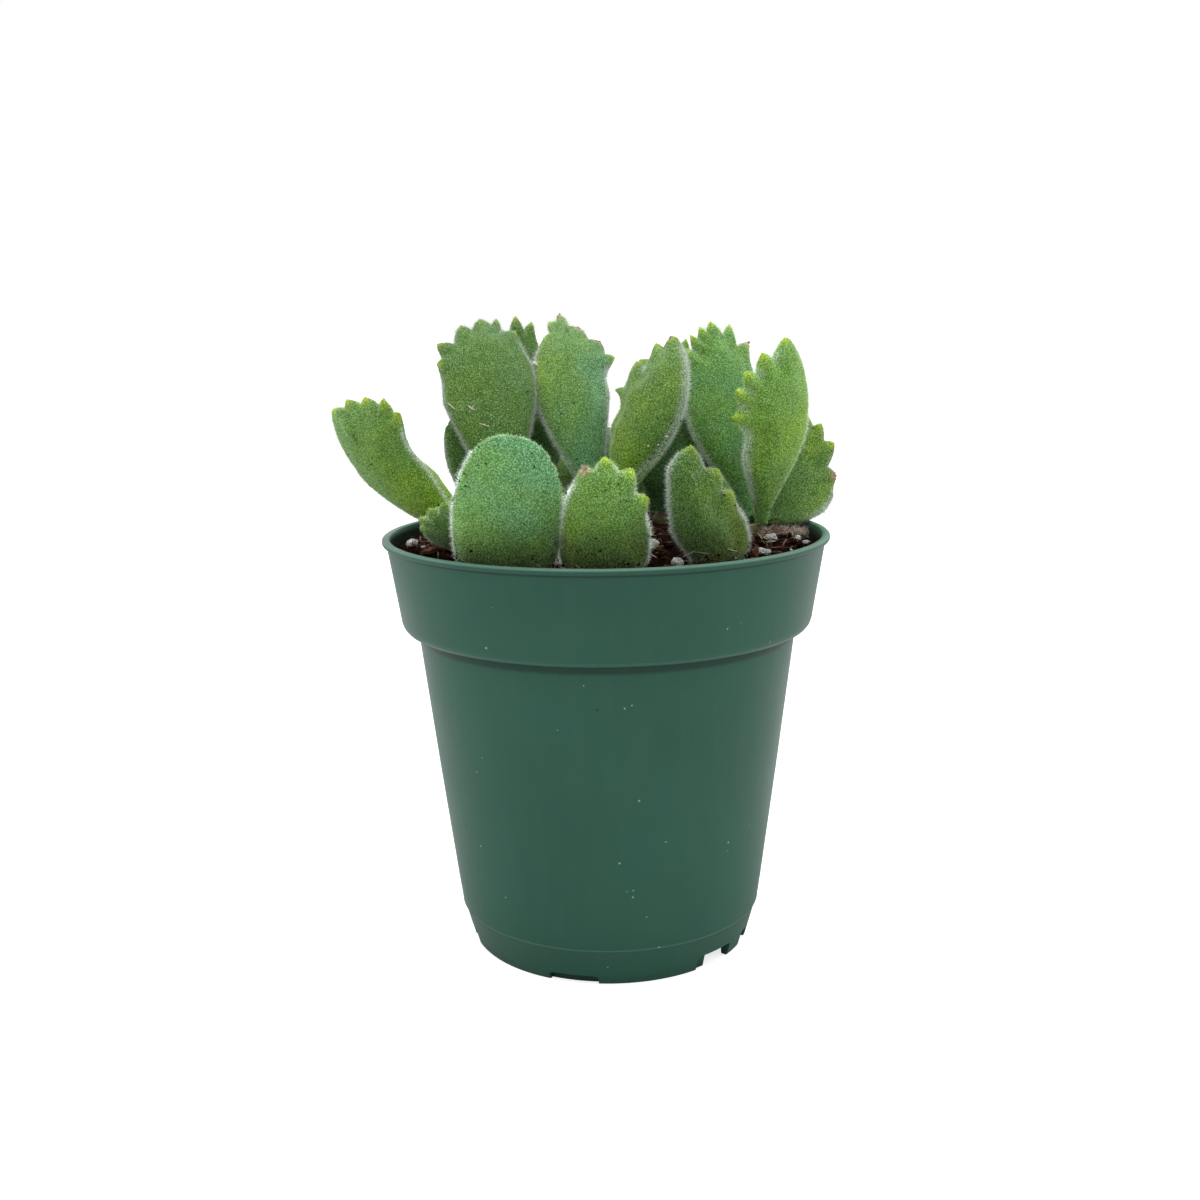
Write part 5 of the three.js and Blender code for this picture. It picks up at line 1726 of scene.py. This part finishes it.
class SUCCULENT_OT_leaf_litter(bpy.types.Operator):
    """Strew specks of peat and perlite on the leaves, with scars and a few long hairs"""

    bl_idname = "succulent.leaf_litter"
    bl_label = "Specks on the Leaves"
    bl_options = {"REGISTER", "UNDO"}

    def execute(self, context):
        soil, leaf = context.scene.succulent_soil, context.scene.succulent_leaf
        rng = np.random.default_rng(31)
        balls = [lump(s + 40, 1, 0.5) for s in range(4)]
        dark, pale = [], []
        # dark and pale specks, and the heights in mm between which most of them lie
        for node, darks, pales, low, high in (
            ("leaf_front_left", 60, 26, 94, 128), ("leaf_front_middle", 34, 20, 94, 118),
            ("leaf_front_right", 12, 16, 94, 112), ("leaf_centre", 55, 6, 104, 126),
            ("leaf_tall_left", 22, 8, 104, 140), ("leaf_tall_middle", 10, 8, 104, 140),
            ("leaf_right_front", 16, 8, 100, 122), ("leaf_right_back", 14, 10, 96, 124),
            ("leaf_left_outer", 10, 4, 98, 120), ("leaf_tall_right", 6, 4, 104, 140),
        ):
            co, normals = front_skin(node)
            inside = (co[:, 2] > low * MM) & (co[:, 2] < high * MM)
            co, normals = co[inside], normals[inside]
            for group, count, sizes in ((dark, darks, (0.09, 0.26)), (pale, pales, (0.08, 0.2))):
                for k in rng.integers(len(co), size=count):
                    size = rng.uniform(*sizes) * MM
                    group.append((co[k] + normals[k] * 0.25 * MM
                                  + rng.normal(0, 0.2, 3) * MM, size))
        # single grains: leaf, place across and up from the pot's foot in mm, size in mm
        for node, x, z, size in GRAINS:
            co, normals = front_skin(node)
            k = np.hypot(co[:, 0] - AXIS.x - x * MM, co[:, 2] - z * MM).argmin()
            pale.append((co[k] + normals[k] * 0.35 * MM, size * MM))
        # dried tooth tips are crusted with pale brown crumbs
        crust = []
        for node in LEAF_NODES:
            obj = bpy.data.objects[node.replace("leaf_", "paw_")]
            dry = np.empty(len(obj.data.vertices), dtype=np.float32)
            obj.data.attributes["dry"].data.foreach_get("value", dry)
            ends = points_of(obj)[dry > 0.93]
            for k in rng.integers(max(len(ends), 1), size=min(len(ends), 26)):
                crust.append((ends[k] + rng.normal(0, 0.05, 3) * MM,
                              rng.uniform(0.22, 0.42) * MM))
        # crumbs heaped against the feet of the front leaves
        heap = []
        for node in ("leaf_front_left", "leaf_front_middle", "leaf_front_right"):
            co, normals = front_skin(node)
            shy = np.exp(-np.maximum(co[:, 2] / MM - 94.8, 0) / 1.5) * (co[:, 2] < 0.101)
            for k in rng.choice(len(co), size=150, p=shy / shy.sum()):
                place = co[k] + normals[k] * 0.2 * MM + rng.normal(0, 0.3, 3) * MM
                size = rng.uniform(0.12, 0.42) * MM
                (pale if rng.random() < 0.16 else heap).append((place, size))
        for name, group, material, slot in (
            ("peat_specks", dark + heap, soil_material(soil), "potting_mix"),
            ("perlite_dust", pale, perlite_material(soil), "perlite"),
            ("dry_crust", crust, bark_material(soil), "bark_chip"),
        ):
            piece = scatter_lumps(name, [g[0] for g in group], [g[1] for g in group], 0.9,
                                  balls, rng)
            smooth_by_angle(piece, 60)
            if name == "dry_crust":
                paint(piece, "felt", np.full(len(piece.data.vertices), 0.85))
            keep(piece, name, material)

        # scars and stray fibres lie along the skin; long hairs hang between two leaves
        paths, radii, shade = [], [], []
        for node, x0, z0, x1, z1, radius in SCARS:
            co, normals = front_skin(node)
            run = []
            for t in np.linspace(0, 1, 7):
                x, z = (x0 + (x1 - x0) * t) * MM, (z0 + (z1 - z0) * t) * MM
                k = np.argsort(np.hypot(co[:, 0] - AXIS.x - x, co[:, 2] - z))[:4]
                at = co[k].mean(axis=0) + normals[k].mean(axis=0) * 0.12 * MM
                run.append((AXIS.x + x, at[1], z + rng.normal(0, 0.12) * MM))
            paths.append(np.array(run))
            radii.append(radius * MM)
            shade.append(1.0)
        for node in ("leaf_front_left", "leaf_front_middle", "leaf_front_right"):
            co, normals = front_skin(node)
            shy = np.exp(-np.maximum(co[:, 2] / MM - 94.8, 0) / 1.8) * (co[:, 2] < 0.101)
            for k in rng.choice(len(co), size=44, p=shy / shy.sum()):
                way = rng.normal(0, 1, 3) * (1, 0.25, 0.7)
                t = np.linspace(-1, 1, 6)[:, None]
                bend = np.sin(t * rng.uniform(1, 3)) * rng.normal(0, 0.3, 3)
                paths.append(co[k] + normals[k] * 0.45 * MM
                             + (t * way * rng.uniform(0.5, 1.3) + bend) * MM)
                radii.append(rng.uniform(0.08, 0.2) * MM)
                shade.append(rng.uniform(0.2, 1))
        bits, sizes = strands("straw_bits", paths, radii)
        paint(bits, "shade", np.repeat(shade, sizes))
        pallor = np.where(rng.random(len(sizes)) < 0.35, 0.75, 0.0)
        pallor[:len(SCARS)] = 0.8
        paint(bits, "felt", np.repeat(pallor, sizes))
        smooth_by_angle(bits, 80)
        keep(bits, "straw_bits", fibre_material(soil))

        paths = []
        co, normals = front_skin("leaf_left_outer")
        low = np.flatnonzero(co[:, 2] < 0.108)
        for k in rng.choice(low, size=34):
            t = np.linspace(0, 1, 8)[:, None]
            way = normals[k] * 0.5 + rng.normal(0, 0.8, 3) + np.array((0.3, -0.2, -0.2))
            sag = np.sin(t * math.pi) * rng.normal(0, 0.5, 3)
            paths.append(co[k] + (t * way * rng.uniform(1.5, 3.2) + sag) * MM)
        web, sizes = strands("stray_hairs", paths, [0.028 * MM] * len(paths))
        # light: painted light for these hairs, as on the leaves
        for name, value in (("edge", 1.0), ("tone", 0.5), ("tooth", 0.0), ("dry", 0.0),
                            ("light", 1.1)):
            paint(web, name, np.full(sum(sizes), value))
        keep(web, "stray_hairs", hair_material(leaf))
        return {"FINISHED"}


# ---------------------------------------------------------------- stage

class SUCCULENT_OT_stage(bpy.types.Operator):
    """Set up the white floor, the soft studio light and the camera"""

    bl_idname = "succulent.stage"
    bl_label = "Studio"
    bl_options = {"REGISTER", "UNDO"}

    def execute(self, context):
        stage = context.scene.succulent_stage
        bpy.ops.object.select_all(action="DESELECT")
        bpy.ops.mesh.primitive_plane_add(size=60.0, location=(0, 0, 0))
        floor = context.object
        floor.name = "studio_floor"
        material, tree, shader = new_material(
            "studio_paper", specular_ior_level=0.1, emission_strength=0.0)
        drift = noise_value(tree, object_place(tree), 3.0, 2.0)
        feed(tree, shader,
             base_color=blend_colour(tree, drift, (0.62, 0.62, 0.62), (0.64, 0.64, 0.64)),
             roughness=remap(tree, drift, 0.2, 0.8, 0.8, 0.9))
        # overexposed to white where it is seen, but an ordinary paper to the light
        seen = put(tree, "ShaderNodeLightPath").outputs["Is Camera Ray"]
        shader.inputs["Emission Color"].default_value = (1, 1, 1, 1)
        tree.links.new(math_node(tree, "MULTIPLY", seen, 0.75),
                       shader.inputs["Emission Strength"])
        floor.data.materials.append(material)

        # a white surround that is dimmer in front, so the sides and the rims stay bright
        world = bpy.data.worlds.new("studio_surround")
        world.use_nodes = True
        tree = world.node_tree
        axes = put(tree, "ShaderNodeSeparateXYZ",
                   {0: put(tree, "ShaderNodeTexCoord").outputs["Generated"]})
        light = remap(tree, axes.outputs["Y"], -0.85, 0.2, stage.front, 1.0)
        light = math_node(tree, "MULTIPLY", light,
                          remap(tree, axes.outputs["Z"], 0.1, 0.9, 1.0, 1.25))
        light = math_node(tree, "MULTIPLY", light, stage.surround)
        seen = put(tree, "ShaderNodeLightPath").outputs["Is Camera Ray"]
        light = put(tree, "ShaderNodeMix", {"Factor": seen, "A": light, "B": 1.0}).outputs[0]
        back = tree.nodes["Background"]
        back.inputs["Color"].default_value = (1, 1, 1, 1)
        tree.links.new(light, back.inputs["Strength"])
        context.scene.world = world
        for name, place, size, power in (
            ("softbox_top", (0.0, 0.0, 0.9), 0.6, 4.0),
            ("softbox_left", (-0.75, 0.1, 0.5), 0.5, 1.0),
            ("softbox_right", (0.75, 0.1, 0.5), 0.5, 1.0),
        ):
            light = bpy.data.lights.new(name, "AREA")
            light.shape, light.size, light.energy = "SQUARE", size, power
            lamp = bpy.data.objects.new(name, light)
            lamp.location = place
            target = Vector((0, 0, 0.09)) - lamp.location
            lamp.rotation_euler = target.to_track_quat("-Z", "Y").to_euler()
            context.scene.collection.objects.link(lamp)

        ahead = Vector((math.sin(stage.yaw) * math.cos(stage.pitch),
                        math.cos(stage.yaw) * math.cos(stage.pitch), -math.sin(stage.pitch)))
        level = Vector((math.cos(stage.yaw), -math.sin(stage.yaw), 0))
        above = level.cross(ahead)
        right = level * math.cos(stage.roll) + above * math.sin(stage.roll)
        up = above * math.cos(stage.roll) - level * math.sin(stage.roll)
        lens = bpy.data.cameras.new("studio_camera")
        lens.sensor_width, lens.lens = 36.0, stage.lens
        lens.clip_start, lens.clip_end = 0.01, 20.0
        camera = bpy.data.objects.new("studio_camera", lens)
        spot = AXIS + Vector(stage.eye)
        turn = Matrix((right, up, -ahead)).transposed().to_4x4()
        camera.matrix_world = Matrix.Translation(spot) @ turn
        context.scene.collection.objects.link(camera)
        context.scene.camera = camera
        context.scene.view_settings.view_transform = "Standard"
        context.scene.view_settings.look = "None"
        return {"FINISHED"}


# ---------------------------------------------------------------- panel and registration

class SUCCULENT_PT_panel(bpy.types.Panel):
    """Sidebar list of the steps and settings."""

    bl_label = "Bear's Paw Succulent"
    bl_space_type = "VIEW_3D"
    bl_region_type = "UI"
    bl_category = "Succulent"

    def draw(self, context):
        layout = self.layout
        for operator in OPERATORS:
            layout.operator(operator.bl_idname)
        for name in SETTINGS:
            settings = getattr(context.scene, name)
            box = layout.box()
            for key in settings.__annotations__:
                box.prop(settings, key)


SETTINGS = {
    "succulent_leaf": LeafSettings,
    "succulent_pot": PotSettings,
    "succulent_soil": SoilSettings,
    "succulent_stage": StageSettings,
}
OPERATORS = (
    SUCCULENT_OT_stage, SUCCULENT_OT_pot, SUCCULENT_OT_soil, SUCCULENT_OT_soil_litter,
    SUCCULENT_OT_perlite, SUCCULENT_OT_bark, SUCCULENT_OT_soil_finds, SUCCULENT_OT_stems,
    SUCCULENT_OT_leaves, SUCCULENT_OT_velvet, SUCCULENT_OT_leaf_litter,
)


def register():
    for group in SETTINGS.values():
        bpy.utils.register_class(group)
    for name, group in SETTINGS.items():
        setattr(bpy.types.Scene, name, PointerProperty(type=group))
    for operator in OPERATORS:
        bpy.utils.register_class(operator)
    bpy.utils.register_class(SUCCULENT_PT_panel)


def unregister():
    bpy.utils.unregister_class(SUCCULENT_PT_panel)
    for operator in reversed(OPERATORS):
        bpy.utils.unregister_class(operator)
    for name, group in SETTINGS.items():
        delattr(bpy.types.Scene, name)
        bpy.utils.unregister_class(group)


def main():
    register()
    bpy.ops.object.select_all(action="DESELECT")
    bpy.ops.succulent.stage()
    bpy.ops.succulent.pot()
    bpy.ops.succulent.soil()
    bpy.ops.succulent.soil_litter()
    bpy.ops.succulent.perlite()
    bpy.ops.succulent.bark()
    bpy.ops.succulent.soil_finds()
    bpy.ops.succulent.stems()
    bpy.ops.succulent.leaves()
    bpy.ops.succulent.velvet()
    bpy.ops.succulent.leaf_litter()


if __name__ == "__main__":
    main()
